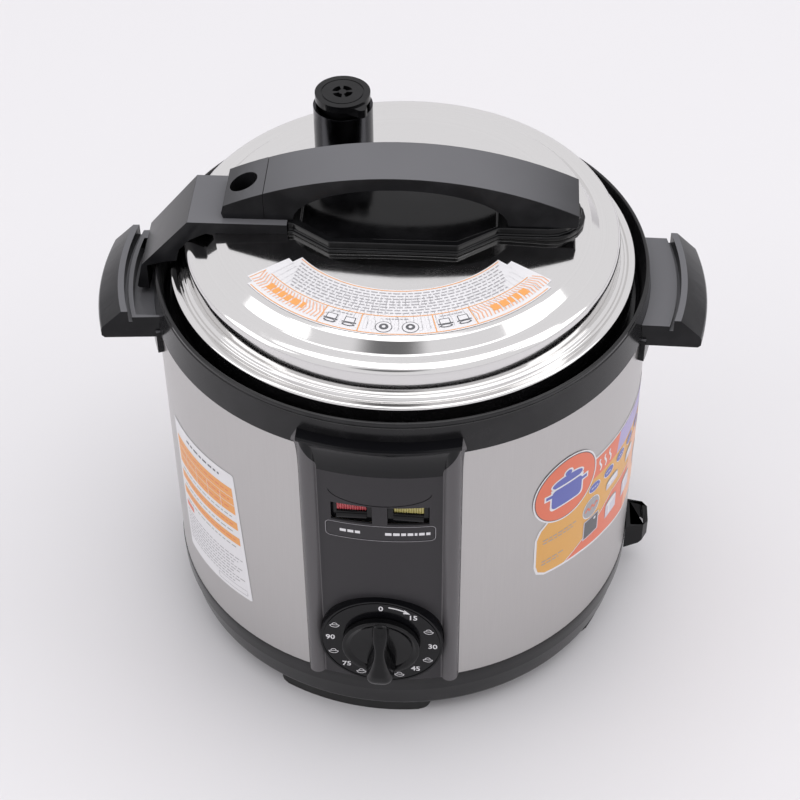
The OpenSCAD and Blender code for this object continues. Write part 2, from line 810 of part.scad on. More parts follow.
module sensor_cup() {
    low = plate_low - 5;
    color("#d0d0d2")
    difference() {
        union() {
            pin_at(sensor_r, 0, 0, low, plate_top);
            pin_at(sensor_r + 3, 0, 0, low, low + 1.4);
        }
        pin_at(sensor_r - 1.2, 0, 0, low - cut, plate_top - 1.4);
    }
}

module thermal_fuse() {
    color("#e6e2d8")
    rotate([0, 0, 215]) translate([88, -16, shell_low - 4]) rotate([-90, 0, 0]) {
        cylinder(r = 2.4, h = 32);
        translate([0, 0, 8]) cylinder(r = 3.9, h = 16);
    }
}

module pressure_switch() {
    color("#3a3630")
    rotate([0, 0, 150]) {
        block(78, 98, -15, 15, shell_low - 20, shell_low - 6);
        block(80, 96, -12, 12, shell_low - 6.5, shell_low - seat);
        pin_at(1.5, 74, 6, shell_low - 13, shell_low - 1);
        block(72, 79, 3, 9, shell_low - 15, shell_low - 12);
    }
}

module insulation() {
    color("#d9cfae")
    difference() {
        ring(shell_r + 0.4, shell_r + 6, shell_low + 8, z_collar - 14);
        at_panel() block(-timer_w / 2 - 6, timer_w / 2 + 6, -body_r, 0, 0, timer_top + 10);
    }
}

module wiring() {
    color("#b03a34")
    for (i = [0:2]) rotate([0, 0, 104]) rotate_extrude(angle = 146)
        translate([body_r - 8, z_sleeve + 14 + 4 * i]) circle(r = 1.4, $fn = 24);
}

// ---------------------------------------------------------------- inner pot and seal

module inner_pot() {
    rim_top = pot_rim + pot_rim_t;
    base_t = 2;
    color("#cfcfd1")
    rotate_extrude() polygon(concat(
        [[0, pot_low]],
        arc(pot_r - pot_bend, pot_low + pot_bend, pot_bend, -90, 0, 6),
        [[pot_r, pot_rim], [shell_r - 0.4, pot_rim], [shell_r - 0.1, pot_rim + 0.8],
         [shell_r - 0.4, rim_top], [pot_in + 0.6, rim_top], [pot_in, rim_top - 0.8]],
        arc(pot_in - pot_bend + pot_t, pot_low + pot_bend - pot_t + base_t,
            pot_bend - pot_t, 0, -90, 6),
        [[0, pot_low + base_t]]
    ));
}

seal_low = pot_rim + pot_rim_t + 0.3;
carrier_r = dome_r - 8.2;
hook_r = dome_r - 4.9;
hook_low = seal_low + 2.7;

module sealing_ring() {
    seal_top = shoulder_z - 12.3;
    color("#e9e7e2")
    rotate_extrude() polygon([
        [carrier_r + free, hook_low + 1.2 + free], [hook_r + free, hook_low + 1.2 + free],
        [hook_r + free, seal_low], [shell_r + 0.2, seal_low], [shell_r + 0.2, seal_low + 2],
        [dome_r - 1.9, seal_low + 2.9], [dome_r - 1.9, seal_top], [carrier_r + free, seal_top]
    ]);
}

module seal_carrier() {
    top = shoulder_z - lid_t - seat;
    color("#b8b8ba")
    rotate_extrude() polygon([
        [carrier_r - 1.2, hook_low], [hook_r, hook_low], [hook_r, hook_low + 1.2],
        [carrier_r, hook_low + 1.2], [carrier_r, top], [carrier_r - 1.2, top]
    ]);
}

// ---------------------------------------------------------------- lid

module lid_shell() {
    color("#c9c9cb")
    difference() {
        union() {
            rotate_extrude()
                polygon(concat(lid_path, backwards(offset_path(lid_path, -lid_t))));
            for (i = [0:lug_count - 1]) rotate([0, 0, pitch * (i + 0.5)])
                sector(shell_r + 1.6, skirt_in + 0.3, -lid_lug_arc / 2, lid_lug_arc / 2,
                    lid_lug_top - lug_t, lid_lug_top);
        }
        for (x = screw_xs) pin_at(screw_r + 0.3, x, 0, 0, 2 * z_rim);
        pin_at(3.5, -float_x, 0, 0, 2 * z_rim);
        pin_at(5 + seat, -valve_x, valve_y, 0, 2 * z_rim);
    }
}

// Plan of the handle base: octagonal middle and a round-ended foot, inset by d
function plate_outline(d) = let (w = plate_w - d, f = 20 - d) concat(
    [[-arm_x, -f - 1], [-57, -f - 1], [-36.5, -w], [31, -w], [52, -f]],
    arc(78, 0, f, -90, 90, 10),
    [[52, f], [31, w], [-36.5, w], [-57, f + 1], [-arm_x, f + 1]]
);

module lid_handle_base() {
    color("#141416")
    difference() {
        union() {
            translate([0, 0, disc_z - 1]) linear_extrude(plate_h / 2 + 0.6)
                polygon(plate_outline(0));
            translate([0, 0, disc_z - 1]) linear_extrude(plate_h + 1)
                polygon(plate_outline(2));
        }
        lid_room(seat);
        translate([0, 0, disc_z + 4]) linear_extrude(plate_h) polygon([
            [-span + 4, 2 - 18], [-36, 6.5 - plate_w], [30, 6.5 - plate_w], [span - 6, 2 - 18],
            [span - 6, 18 - 2], [30, plate_w - 6.5], [-36, plate_w - 6.5], [-span + 4, 18 - 2]
        ]);
        pin_at(screw_r + 0.3, screw_xs[1], 0, 0, 2 * z_rim);
    }
}

// Height of the arch's top at a distance along the handle
function arch_z(x) = crown_z - arch_r + sqrt(arch_r * arch_r - x * x);

module lid_handle_grip() {
    foot = plate_z + seat;
    under = grip_h - 7.5;
    color("#4a494e")
    difference() {
        slab(-grip_w / 2, grip_w / 2) polygon(concat(
            [[-block_in + 0.1, foot], [-span, foot]],
            [for (a = [10:10:170]) [-span * cos(a), foot + under * sin(a)]],
            [[span, foot], [grip_reach - 1, foot], [grip_reach, foot + 1]],
            [for (i = [0:24]) let (x = grip_reach - i * (grip_reach + block_in) / 24)
                [x + (i == 24 ? 0.1 : 0), arch_z(x)]]
        ));
        for (x = screw_xs) pin_at(screw_r + seat, x, 0, 0, plate_z + 9);
    }
}

module float_housing() {
    foot = plate_z + seat;
    color("#3a393d")
    difference() {
        slab(-grip_w / 2, grip_w / 2) polygon(concat(
            [[-block_in, foot], [-block_in, arch_z(block_in)]],
            [for (i = [1:4]) let (x = block_in + i * (grip_reach - block_in) / 4) [-x, arch_z(x)]],
            [[-block_out, foot + 3], [1 - block_out, foot]]
        ));
        pin_at(float_hole_d / 2, -float_x, 0, 0, 2 * z_rim);
    }
}

module lid_arm() {
    bend_x = tip_out - 31.4;
    color("#3a393d")
    difference() {
        intersection() {
            slab(-arm_w, arm_w) polygon([
                [-arm_x - seat, disc_z - 1], [-arm_x - seat, plate_z], [-bend_x, plate_z],
                [3.4 - tip_out, z_rim - 1.5], [-tip_out, tip_low + 1], [1 - tip_out, tip_low],
                [-tip_in, tip_low], [-tip_in, z_lip + 0.8], [-lid_r - 1.4, lid_z + 3.3],
                [-dome_r - 3.6, lid_z + 4.9], [-dome_r - 1.8, shoulder_z - 7.3],
                [-dome_r + 4.9, shoulder_z + 0.6], [-disc_r - 3.6, disc_z - 0.2],
                [-disc_r, disc_z - 1]
            ]);
            translate([0, 0, -z_rim]) linear_extrude(3 * z_rim) polygon([
                [0, -arm_w / 2], [-bend_x, -arm_w / 2], [-tip_out - 1, -tip_w / 2],
                [-tip_out - 1, tip_w / 2], [-bend_x, arm_w / 2], [0, arm_w / 2]
            ]);
        }
        lid_room(seat);
        pin_at(float_hole_d / 2, -float_x, 0, 0, 2 * z_rim);
        pin_at(screw_r + 0.3, screw_xs[0], 0, 0, 2 * z_rim);
    }
}

module lid_screws() {
    color("silver")
    for (x = screw_xs) {
        pin_at(screw_r, x, 0, disc_z - 3, plate_z + 8);
        pin_at(4.5, x, 0, disc_z - 4.2, disc_z - lid_t - 0.1);
    }
}

// ---------------------------------------------------------------- valves

tube_top = disc_z + 22;
cap_z = disc_z + guard_h + 4;
cap_t = 4;
cap_r = guard_d / 2 - 1.2;

module at_valve() {
    translate([-valve_x, valve_y, 0]) children();
}

module vent_tube() {
    color("silver")
    difference() {
        union() {
            at_valve() pin_at(5, 0, 0, disc_z - 14, tube_top);
            difference() {
                at_valve() pin_at(8, 0, 0, disc_z - 1, disc_z + 4);
                lid_room(seat);
            }
        }
        at_valve() pin_at(2, 0, 0, 0, 2 * z_rim);
    }
}

module vent_nut() {
    color("#c8c4b8")
    at_valve() difference() {
        translate([0, 0, disc_z - 6]) cylinder(r = 9, h = 4.2, $fn = 6);
        pin_at(5 + seat, 0, 0, 0, 2 * z_rim);
    }
}

module steam_strainer() {
    low = disc_z - 20;
    color("#b8b8ba")
    at_valve() difference() {
        pin_at(14, 0, 0, low, disc_z - lid_t - 0.4);
        pin_at(12.8, 0, 0, low + 1.2, disc_z);
        for (a = [0:30:330]) rotate([0, 0, a]) block(10, 16, -1, 1, low + 4, disc_z - 6);
    }
}

module valve_guard() {
    color("#26262a")
    difference() {
        at_valve() pin_at(guard_d / 2, 0, 0, disc_z - 1, disc_z + guard_h);
        at_valve() pin_at(guard_d / 2 - 1.6, 0, 0, disc_z - 2, disc_z + guard_h + cut);
        lid_room(seat);
    }
}

module valve_weight() {
    color("silver")
    at_valve() difference() {
        pin_at(9.4, 0, 0, disc_z + 5, cap_z - 8.3);
        pin_at(5 + free, 0, 0, 0, tube_top + 0.3);
    }
}

pointer_a = -50;

module valve_cap() {
    color("#2a2a2e")
    at_valve() difference() {
        union() {
            pin_at(cap_r, 0, 0, cap_z, cap_z + cap_t);
            pin_at(cap_r - 3.4, 0, 0, cap_z - 8, cap_z + 1);
            rotate([0, 0, pointer_a]) linear_extrude_at(cap_z - 2, 5) polygon(concat(
                [[cap_r - 5, 6.5], [cap_r - 5, -6.5]], arc(cap_r + 2, 0, 3.2, -90, 90, 8)));
        }
        for (a = [0:90:270]) rotate([0, 0, a + 10]) sector(2.2, 5.6, 12, 78, cap_z + 1.5, cap_z + 9);
        ring(cap_r - 4, cap_r - 3.4, cap_z + cap_t - 0.5, cap_z + cap_t + cut);
    }
}

module linear_extrude_at(low, h) {
    translate([0, 0, low]) linear_extrude(h) children();
}

module float_pin() {
    color("#c23b35")
    difference() {
        union() {
            pin_at(3, -float_x, 0, disc_z - 8, disc_z + 3);
            pin_at(4.8, -float_x, 0, disc_z + 1.6, disc_z + 6.5);
        }
        pin_at(1.2, -float_x, 0, disc_z + 5, disc_z + 8);
    }
}

module float_seal() {
    color("#e9e7e2")
    difference() {
        pin_at(6, -float_x, 0, disc_z - lid_t - float_lift - 2.4, disc_z - lid_t - float_lift - 0.3);
        pin_at(3 + seat, -float_x, 0, 0, 2 * z_rim);
    }
}

feet();
bottom_cover();
base_ring();
base_screws();
sleeve();
collar();
left_handle();
right_handle();
handle_screws();
control_panel();
lamp_housing();
heat_lamp_lens();
warm_lamp_lens();
neon_lamps();
timer_unit();
timer_screws();
power_inlet();
inlet_pins();
ladle_bracket();
outer_pot();
tie_bolts();
tie_nuts();
spring_plate();
heating_plate();
heating_element();
sensor_bracket();
sensor_spring();
thermal_fuse();
pressure_switch();
insulation();
wiring();
timer_knob();
timer_shaft();
sensor_cup();
inner_pot();
sealing_ring();
lid_shell();
seal_carrier();
lid_handle_base();
lid_handle_grip();
float_housing();
lid_arm();
lid_screws();
vent_tube();
vent_nut();
steam_strainer();
valve_guard();
valve_weight();
valve_cap();
float_pin();
float_seal();
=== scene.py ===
# %% [markdown]
# # An electric pressure cooker, dressed in Blender
#
# The cooker's exact parts come from its CAD model, where every one is a separate solid. This
# lesson loads them, gives each a finish that is computed by shader nodes, and swaps the parts
# that need a smoother or richer shape for meshes that are made here in code.

import json
import math
import random

import bmesh
import bpy
from mathutils import Matrix, Vector


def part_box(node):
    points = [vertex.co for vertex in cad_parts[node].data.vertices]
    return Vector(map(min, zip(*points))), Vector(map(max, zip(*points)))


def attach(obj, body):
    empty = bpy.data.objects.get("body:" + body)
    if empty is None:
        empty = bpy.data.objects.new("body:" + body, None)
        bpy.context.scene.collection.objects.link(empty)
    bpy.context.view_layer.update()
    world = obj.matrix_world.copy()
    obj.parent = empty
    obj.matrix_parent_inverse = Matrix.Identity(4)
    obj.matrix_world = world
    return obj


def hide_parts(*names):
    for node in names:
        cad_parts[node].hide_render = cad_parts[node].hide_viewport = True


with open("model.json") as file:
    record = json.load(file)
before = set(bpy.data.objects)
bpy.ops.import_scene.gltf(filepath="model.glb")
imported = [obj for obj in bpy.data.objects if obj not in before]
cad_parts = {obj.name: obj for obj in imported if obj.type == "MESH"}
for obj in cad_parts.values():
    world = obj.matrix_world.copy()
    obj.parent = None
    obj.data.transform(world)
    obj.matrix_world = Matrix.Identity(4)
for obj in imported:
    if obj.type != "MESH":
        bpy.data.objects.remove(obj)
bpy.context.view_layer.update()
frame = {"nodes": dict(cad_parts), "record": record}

# %% [markdown]
# ## Sizes read from the CAD
#
# A piece that is made here has to sit exactly where the real one does, so the main radii and
# heights are read from the boxes of the CAD nodes, in millimetres.

# %% Read the main sizes
MM = 0.001


def low(node):
    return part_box(node)[0] / MM


def high(node):
    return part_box(node)[1] / MM


body_r = high("sleeve").x
collar_r = high("collar").x
lip_z = high("collar").z
lip_r, rim_z = collar_r - 2.4, lip_z + 2.4
sleeve_low, sleeve_high = low("sleeve").z, high("sleeve").z
lid_r = high("lid_shell").x
lid_low, lid_top = low("lid_shell").z, high("lid_shell").z
lid_z = rim_z - 1.2
dome_r = lid_r - 9.2
shoulder_z = lid_z + 19.5
disc_z = lid_top - 2
disc_r = 100
dial_centre = (low("timer_knob").z + high("timer_knob").z) / 2
panel_lean = math.radians(1.9)
print("body", round(body_r, 2), "lid", round(lid_r, 2), "rim height", round(rim_z, 2))

# %% [markdown]
# ## Shader maths as plain Python
#
# A material is a graph of small nodes. Writing every link by hand hides the idea, so a wire of
# the graph is wrapped in a class that understands plus, minus, times and so on. An expression
# such as `1 - mask * 0.4` then adds the Math nodes by itself. Every other node comes from one
# method, which sets its options first and its sockets afterwards.


# %% A wire and a finish
class Wire:
    """One output of a shader node, usable in an expression."""

    def __init__(self, finish, socket):
        self.finish, self.socket = finish, socket

    def math(self, operation, *values):
        return self.finish.node("ShaderNodeMath", {"operation": operation}, dict(enumerate(values)))

    def __add__(self, other):
        return self.math("ADD", self, other)

    def __sub__(self, other):
        return self.math("SUBTRACT", self, other)

    def __rsub__(self, other):
        return self.math("SUBTRACT", other, self)

    def __mul__(self, other):
        return self.math("MULTIPLY", self, other)

    def __pow__(self, other):
        return self.math("POWER", self, other)

    def __gt__(self, other):
        return self.math("GREATER_THAN", self, other)

    def __lt__(self, other):
        return self.math("LESS_THAN", self, other)

    __radd__, __rmul__ = __add__, __mul__

    def ramp(self, low_end, high_end, to_low=0.0, to_high=1.0):
        """This value stretched from one range to another, and held at its ends."""
        return self.finish.node("ShaderNodeMapRange", {"interpolation_type": "SMOOTHSTEP"}, {
            0: self, 1: low_end, 2: high_end, 3: to_low, 4: to_high})


class Finish:
    """A material with one Principled shader, whose sockets take numbers, colours or wires."""

    def __init__(self, name, **sockets):
        self.material = bpy.data.materials.new(name)
        self.material.use_nodes = True
        self.tree = self.material.node_tree
        self.shader = self.tree.nodes["Principled BSDF"]
        self.set(**sockets)

    def plug(self, socket, value):
        if isinstance(value, Wire):
            self.tree.links.new(value.socket, socket)
        else:
            socket.default_value = value

    def node(self, kind, settings=None, sockets=None, output=0):
        made = self.tree.nodes.new(kind)
        for key, value in (settings or {}).items():
            setattr(made, key, value)
        for key, value in (sockets or {}).items():
            self.plug(made.inputs[key], value)
        return Wire(self, made.outputs[output])

    def set(self, **sockets):
        for key, value in sockets.items():
            if isinstance(value, tuple) and len(value) == 3:
                value = (*value, 1)
            self.plug(self.shader.inputs[key.replace("_", " ")], value)
        return self

    def place(self, scale=(1, 1, 1)):
        """Where a point lies on its piece, in millimetres, stretched along each axis."""
        spot = self.node("ShaderNodeTexCoord", output="Object")
        return self.node("ShaderNodeVectorMath", {"operation": "MULTIPLY"}, {
            0: spot, 1: [s / MM for s in scale]})

    def axis(self, letter):
        which = "XYZ".index(letter)
        return self.node("ShaderNodeSeparateXYZ", sockets={0: self.place()}, output=which)

    def radius(self):
        """Distance from the cooker's upright axis, in millimetres."""
        return (self.axis("X") ** 2 + self.axis("Y") ** 2) ** 0.5

    def noise(self, grain, detail=2.0, scale=(1, 1, 1), where=None):
        """Soft noise from 0 to 1 whose lumps are about that many millimetres across."""
        return self.node("ShaderNodeTexNoise", {"noise_dimensions": "3D"}, {
            "Vector": where or self.place(scale), "Scale": 1 / grain, "Detail": detail})

    def blend(self, mask, first, second):
        """The first colour where the mask is 0 and the second where it is 1."""
        return self.node("ShaderNodeMix", {"data_type": "RGBA"}, {
            0: mask, 6: (*first, 1) if isinstance(first, tuple) else first,
            7: (*second, 1) if isinstance(second, tuple) else second}, output=2)

    def bump(self, height, depth):
        """A normal for a relief whose full height is that many millimetres."""
        return self.node("ShaderNodeBump", sockets={
            "Height": height, "Strength": 1.0, "Distance": depth * MM})


finishes = {}


def keep(slot, finish):
    finishes[slot] = finish
    print("finish", slot)
    return finish


# %% [markdown]
# ## Steel sleeve
#
# The body's skin is thin stainless sheet with a satin brushing that runs round it. Each hair
# line is a tiny scratch, so a noise that is stretched a long way round the body and is only a
# fraction of a millimetre tall changes the roughness and lifts the surface a little.

# %% Brushed and plain sheet steel
steel = Finish("brushed_sleeve_steel", Metallic=1.0)
hair = steel.noise(0.35, 3.0, scale=(1, 1, 0.012))
cloud = steel.noise(45, 2.0)
keep("steel_brushed", steel.set(
    Base_Color=steel.blend(hair, (0.50, 0.487, 0.482), (0.56, 0.546, 0.540)),
    Roughness=hair * 0.10 + cloud * 0.05 + 0.27,
    Normal=steel.bump(hair, 0.004)))

plain = Finish("plain_sheet_steel", Metallic=1.0)
grain = plain.noise(3.0, 4.0)
keep("steel_plain", plain.set(
    Base_Color=plain.blend(grain, (0.52, 0.52, 0.53), (0.62, 0.62, 0.63)),
    Roughness=grain * 0.15 + 0.25, Normal=plain.bump(grain, 0.02)))

# %% [markdown]
# ## Polished lid
#
# The lid is spun from sheet and polished on a wheel while it turns, which leaves rings that are
# only just visible. The rings come from a noise of the distance from the axis alone. A second,
# larger noise gives the slow waves that thin polished sheet always has.

# %% Mirror-polished steel
mirror = Finish("polished_lid_steel", Metallic=1.0)
rings = mirror.noise(0.5, 2.0, where=mirror.node(
    "ShaderNodeCombineXYZ", sockets={0: mirror.radius(), 1: mirror.axis("Z") * 0.6}))
waves = mirror.noise(26, 1.0)
smears = mirror.noise(9, 3.0).ramp(0.55, 0.8)
keep("steel_mirror", mirror.set(
    Base_Color=mirror.blend(rings, (0.72, 0.712, 0.705), (0.78, 0.772, 0.765)),
    Roughness=rings * 0.03 + smears * 0.04 + 0.07,
    Normal=mirror.bump(rings * 0.012 + waves, 0.10)))

# %% [markdown]
# ## Black mouldings
#
# The collar, base and handles are moulded plastic with a satin skin, and the panel's pillars,
# the knob, the lid's handle base and the valve are polished. Both are the same dark plastic:
# only the gloss and the depth of the mould's grain differ, so one function makes them.


# %% Moulded plastic
def moulding(name, colour, rough, grain_depth, grain_mm=0.45, painted_top_sheen=0.0, gloss=0.5):
    """Dark or coloured plastic. Faces that look upwards can get a lighter colour, a painted highlight
    for the light that falls on them from above.
    """
    made = Finish(name)
    skin = made.noise(grain_mm, 2.0)
    hands = made.noise(14, 3.0)
    lighter = tuple(c * 1.5 + 0.002 for c in colour)
    base = made.blend(hands.ramp(0.35, 0.75), colour, lighter)
    # Painted highlight: faces that look upwards get a lighter colour, with a slow noise across it,
    # standing in for the light from above.
    if painted_top_sheen:
        upward = made.node("ShaderNodeSeparateXYZ", sockets={
            0: made.node("ShaderNodeNewGeometry", output="Normal")}, output="Z")
        painted_top_light = upward.ramp(0.86, 1.0) * (0.85 + 0.2 * made.noise(60, 1.0))
        base = made.blend(painted_top_light, base, (painted_top_sheen, painted_top_sheen, painted_top_sheen * 1.07))
    return made.set(
        Base_Color=base,
        Roughness=hands * 0.12 + skin * 0.05 + (rough - 0.08),
        Normal=made.bump(skin, grain_depth), Specular_IOR_Level=gloss)


keep("black_satin", moulding(
    "satin_black_plastic", (0.008, 0.0078, 0.0086), 0.20, 0.006, gloss=0.35))
keep("black_gloss", moulding(
    "polished_black_plastic", (0.004, 0.004, 0.0045), 0.12, 0.003, 2.0, gloss=0.25))
# The handles get the painted highlight on their upward faces.
handle_skin = moulding("handle_plastic", (0.009, 0.009, 0.010), 0.18, 0.004, painted_top_sheen=0.14, gloss=0.16)
keep("rubber_black", moulding("foot_rubber", (0.012, 0.012, 0.012), 0.75, 0.05, 0.8))
keep("ceramic", moulding("fuse_ceramic", (0.72, 0.69, 0.62), 0.55, 0.01))
keep("wire_red", moulding("wire_cover", (0.42, 0.03, 0.025), 0.40, 0.004))
keep("silicone", moulding("seal_silicone", (0.62, 0.61, 0.57), 0.42, 0.006).set(
    Subsurface_Weight=0.15, Subsurface_Scale=0.004))

# %% [markdown]
# The control panel is one moulding with several finishes: a satin face between two polished
# pillars, a polished hollow above the lamps and a polished dial plate. Masks made from the
# position on the panel choose between them, so no edge has to be cut into the part.

# %% Control panel
panel = Finish("panel_plastic", Specular_IOR_Level=0.22)
face_half, pillar_w, plate_r = 32.5, 9.5, 34.2
hollow_foot, hollow_top = sleeve_low + 163.6, sleeve_low + 188
sideways = panel.axis("X") * math.cos(panel_lean) - panel.axis("Y") * math.sin(panel_lean)
upward = panel.axis("Z")
flare = upward.ramp(hollow_foot + 2, hollow_top) ** 0.8 * pillar_w
across = sideways.math("ABSOLUTE", sideways)
hollow = (upward > hollow_foot) * (across < flare + face_half)
on_plate = (sideways ** 2 + (upward - dial_centre) ** 2) < plate_r ** 2
black = across.math("MAXIMUM", hollow, on_plate)
polished = across.math("MAXIMUM", black, across > face_half)
skin = panel.noise(0.45, 2.0)
hands = panel.noise(14, 3.0)
# Painted sheen: the polished pillars get a lighter colour than the satin face. It stands in for the
# highlights their gloss catches.
face_and_painted_pillar_sheen = panel.blend(polished, (0.034, 0.032, 0.035), (0.11, 0.105, 0.11))
panel.set(
    Base_Color=panel.blend(black, face_and_painted_pillar_sheen, (0.004, 0.004, 0.005)),
    Roughness=0.36 - polished * 0.22 + hands * 0.06,
    Normal=panel.bump(skin * (1 - polished), 0.014))

# %% [markdown]
# ## Metals inside
#
# The heating plate is cast aluminium with a machined face, the inner pot is spun aluminium, and
# the small parts are zinc or nickel plated. Turned faces get fine rings, castings get grain.


# %% Plated, cast and turned metals
def metal(name, colour, rough, grain_mm, depth, turned=0.0):
    made = Finish(name, Metallic=1.0)
    lumps = made.noise(grain_mm, 4.0)
    texture = lumps
    if turned:
        texture = lumps * (1 - turned) + turned * made.noise(0.7, 1.0, where=made.node(
            "ShaderNodeCombineXYZ", sockets={0: made.radius(), 1: made.axis("Z")}))
    return made.set(
        Base_Color=made.blend(texture, tuple(c * 0.86 for c in colour), colour),
        Roughness=texture * 0.14 + (rough - 0.07), Normal=made.bump(texture, depth))


keep("aluminium_cast", metal("cast_aluminium", (0.72, 0.72, 0.73), 0.36, 1.2, 0.03, 0.5))
keep("aluminium_pot", metal("spun_aluminium", (0.82, 0.82, 0.83), 0.30, 2.0, 0.02, 0.8))
keep("steel_dark", metal("heated_steel", (0.30, 0.27, 0.25), 0.50, 2.5, 0.03))
keep("zinc", metal("zinc_plate", (0.70, 0.70, 0.67), 0.30, 0.8, 0.01))
keep("nickel", metal("nickel_plate", (0.76, 0.74, 0.70), 0.18, 3.0, 0.004))
keep("black_chrome", metal("dark_plate", (0.045, 0.045, 0.05), 0.20, 4.0, 0.004))

# %% [markdown]
# ## Lenses, glass and insulation
#
# The two lamp windows are tinted, ribbed plastic: red for heating and yellow for keeping warm.
# Behind them sit small neon lamps. Round the outer pot lies a blanket of woven glass fibre.


# %% Lamp plastic, lamp glass and glass-fibre mat
def lens_plastic(name, deep, bright):
    made = Finish(name, Transmission_Weight=0.12, IOR=1.5, Coat_Weight=0.6, Coat_Roughness=0.05)
    cloud = made.noise(6, 2.0)
    return made.set(Base_Color=made.blend(cloud, deep, bright), Roughness=cloud * 0.08 + 0.14,
                    Normal=made.bump(made.noise(1.0), 0.006))


keep("red_lens", lens_plastic("red_lens", (0.38, 0.03, 0.045), (0.62, 0.09, 0.10)))
keep("yellow_lens", lens_plastic("yellow_lens", (0.40, 0.34, 0.09), (0.62, 0.55, 0.20)))
glass = Finish("lamp_glass", IOR=1.45, Transmission_Weight=0.7)
keep("lamp_glass", glass.set(Base_Color=glass.blend(
    glass.noise(3), (0.9, 0.62, 0.42), (0.95, 0.78, 0.6)), Roughness=glass.noise(2) * 0.1 + 0.03))
mat = Finish("glass_fibre_mat", Sheen_Weight=0.3)
weave = mat.noise(2.2, 2.0, scale=(1, 1, 0.3)) * mat.noise(2.2, 2.0, scale=(0.3, 0.3, 1))
keep("glass_fibre", mat.set(
    Base_Color=mat.blend(weave.ramp(0.1, 0.4), (0.48, 0.43, 0.27), (0.78, 0.73, 0.56)),
    Roughness=weave * 0.2 + 0.75, Normal=mat.bump(weave, 0.5)))

# %% [markdown]
# ## Dress every CAD part
#
# The record says which finish each part has. A real moulding has no knife edges, and a thin
# bright line along an edge is most of what makes a part look solid. So each CAD part gets four
# modifiers: its faces are welded together, flat ones are joined, every sharp edge is rounded,
# and the shading then follows the large faces. The part's own mesh stays as it is.


# %% Round the edges of a part
def soften(piece, width, segments=3, angle=30, weld=True):
    if weld:
        piece.modifiers.new("weld", "WELD").merge_threshold = 2e-6
        flat = piece.modifiers.new("join", "DECIMATE")
        flat.decimate_type, flat.angle_limit = "DISSOLVE", math.radians(0.4)
        flat.delimit = {"SHARP"}
    edge = piece.modifiers.new("edge", "BEVEL")
    edge.width, edge.segments = width * MM, segments
    edge.limit_method, edge.angle_limit = "ANGLE", math.radians(angle)
    edge.use_clamp_overlap, edge.miter_outer = True, "MITER_ARC"
    edge.harden_normals = False
    piece.modifiers.new("shade", "WEIGHTED_NORMAL").keep_sharp = False
    for face in piece.data.polygons:
        face.use_smooth = True


edge_width = {
    "lid_handle_grip": 2.2, "float_housing": 1.6, "lid_arm": 1.3, "lid_handle_base": 0.7,
    "left_handle": 1.2, "right_handle": 1.2, "control_panel": 0.7, "lamp_housing": 0.3,
    "valve_guard": 0.5, "valve_cap": 0.45, "ladle_bracket": 0.9, "feet": 0.8,
    "power_inlet": 0.6, "inner_pot": 0.3, "heating_plate": 0.5, "timer_unit": 0.8,
}
slot_of = {row["node"]: row["material_slot"] for row in frame["record"]["subparts"]}
unrounded = {"sensor_spring", "wiring", "heating_element", "float_seal", "timer_shaft"}
for name, part in frame["nodes"].items():
    part.data.materials.clear()
    part.data.materials.append(finishes[slot_of[name]].material)
    if name not in unrounded:
        soften(part, edge_width.get(name, 0.2))
frame["nodes"]["control_panel"].data.materials[0] = panel.material
for name in ("lid_arm", "float_housing", "lid_handle_grip", "left_handle", "right_handle"):
    frame["nodes"][name].data.materials[0] = handle_skin.material
print(len(frame["nodes"]), "CAD parts dressed")

# %% [markdown]
# ## Turned shapes
#
# The lid, collar and base are solids of revolution. A mirror shows every flat in a coarse
# outline, so the outlines of the lid and collar are drawn again with a true arc at each corner, and
# turned in fine steps. `rounded` puts an arc in each corner of an outline, and `turned` spins it.


# %% Outline and lathe
def rounded(points, steps=5):
    """A closed outline of (radius, height, corner radius) with an arc in each corner."""
    path = []
    for i, (x, z, r) in enumerate(points):
        here = Vector((x, z))
        back = Vector(points[i - 1][:2]) - here
        ahead = Vector(points[(i + 1) % len(points)][:2]) - here
        turn = math.pi - back.angle(ahead, math.pi)
        reach = min(r * math.tan(turn / 2), 0.48 * back.length, 0.48 * ahead.length)
        if r == 0 or turn < 0.02:
            path.append((x, z))
            continue
        a, b = here + back.normalized() * reach, here + ahead.normalized() * reach
        for k in range(steps + 1):
            t = k / steps
            p = a * (1 - t) ** 2 + here * 2 * t * (1 - t) + b * t * t
            path.append((p.x, p.y))
    return path


def build(name, points, faces, body, slots, stands_for=(), marks=None, weld=True):
    """A piece from points in millimetres, riding on a body, with one finish per slot."""
    mesh = bpy.data.meshes.new(name)
    mesh.from_pydata([[c * MM for c in p] for p in points], [], faces)
    piece = bpy.data.objects.new(name, mesh)
    bpy.context.scene.collection.objects.link(piece)
    for slot in slots:
        mesh.materials.append(finishes[slot].material)
    for face in mesh.polygons:
        face.use_smooth = True
        face.material_index = marks[face.index] if marks else 0
    if weld:
        tidy = bmesh.new()
        tidy.from_mesh(mesh)
        bmesh.ops.remove_doubles(tidy, verts=tidy.verts, dist=1e-6)
        bmesh.ops.dissolve_degenerate(tidy, edges=tidy.edges, dist=1e-7)
        tidy.to_mesh(mesh)
        tidy.free()
    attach(piece, body)
    slots[0] in slot_of.values()
    if stands_for:
        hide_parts(*stands_for)
    print(name, len(mesh.polygons), "faces")
    return piece


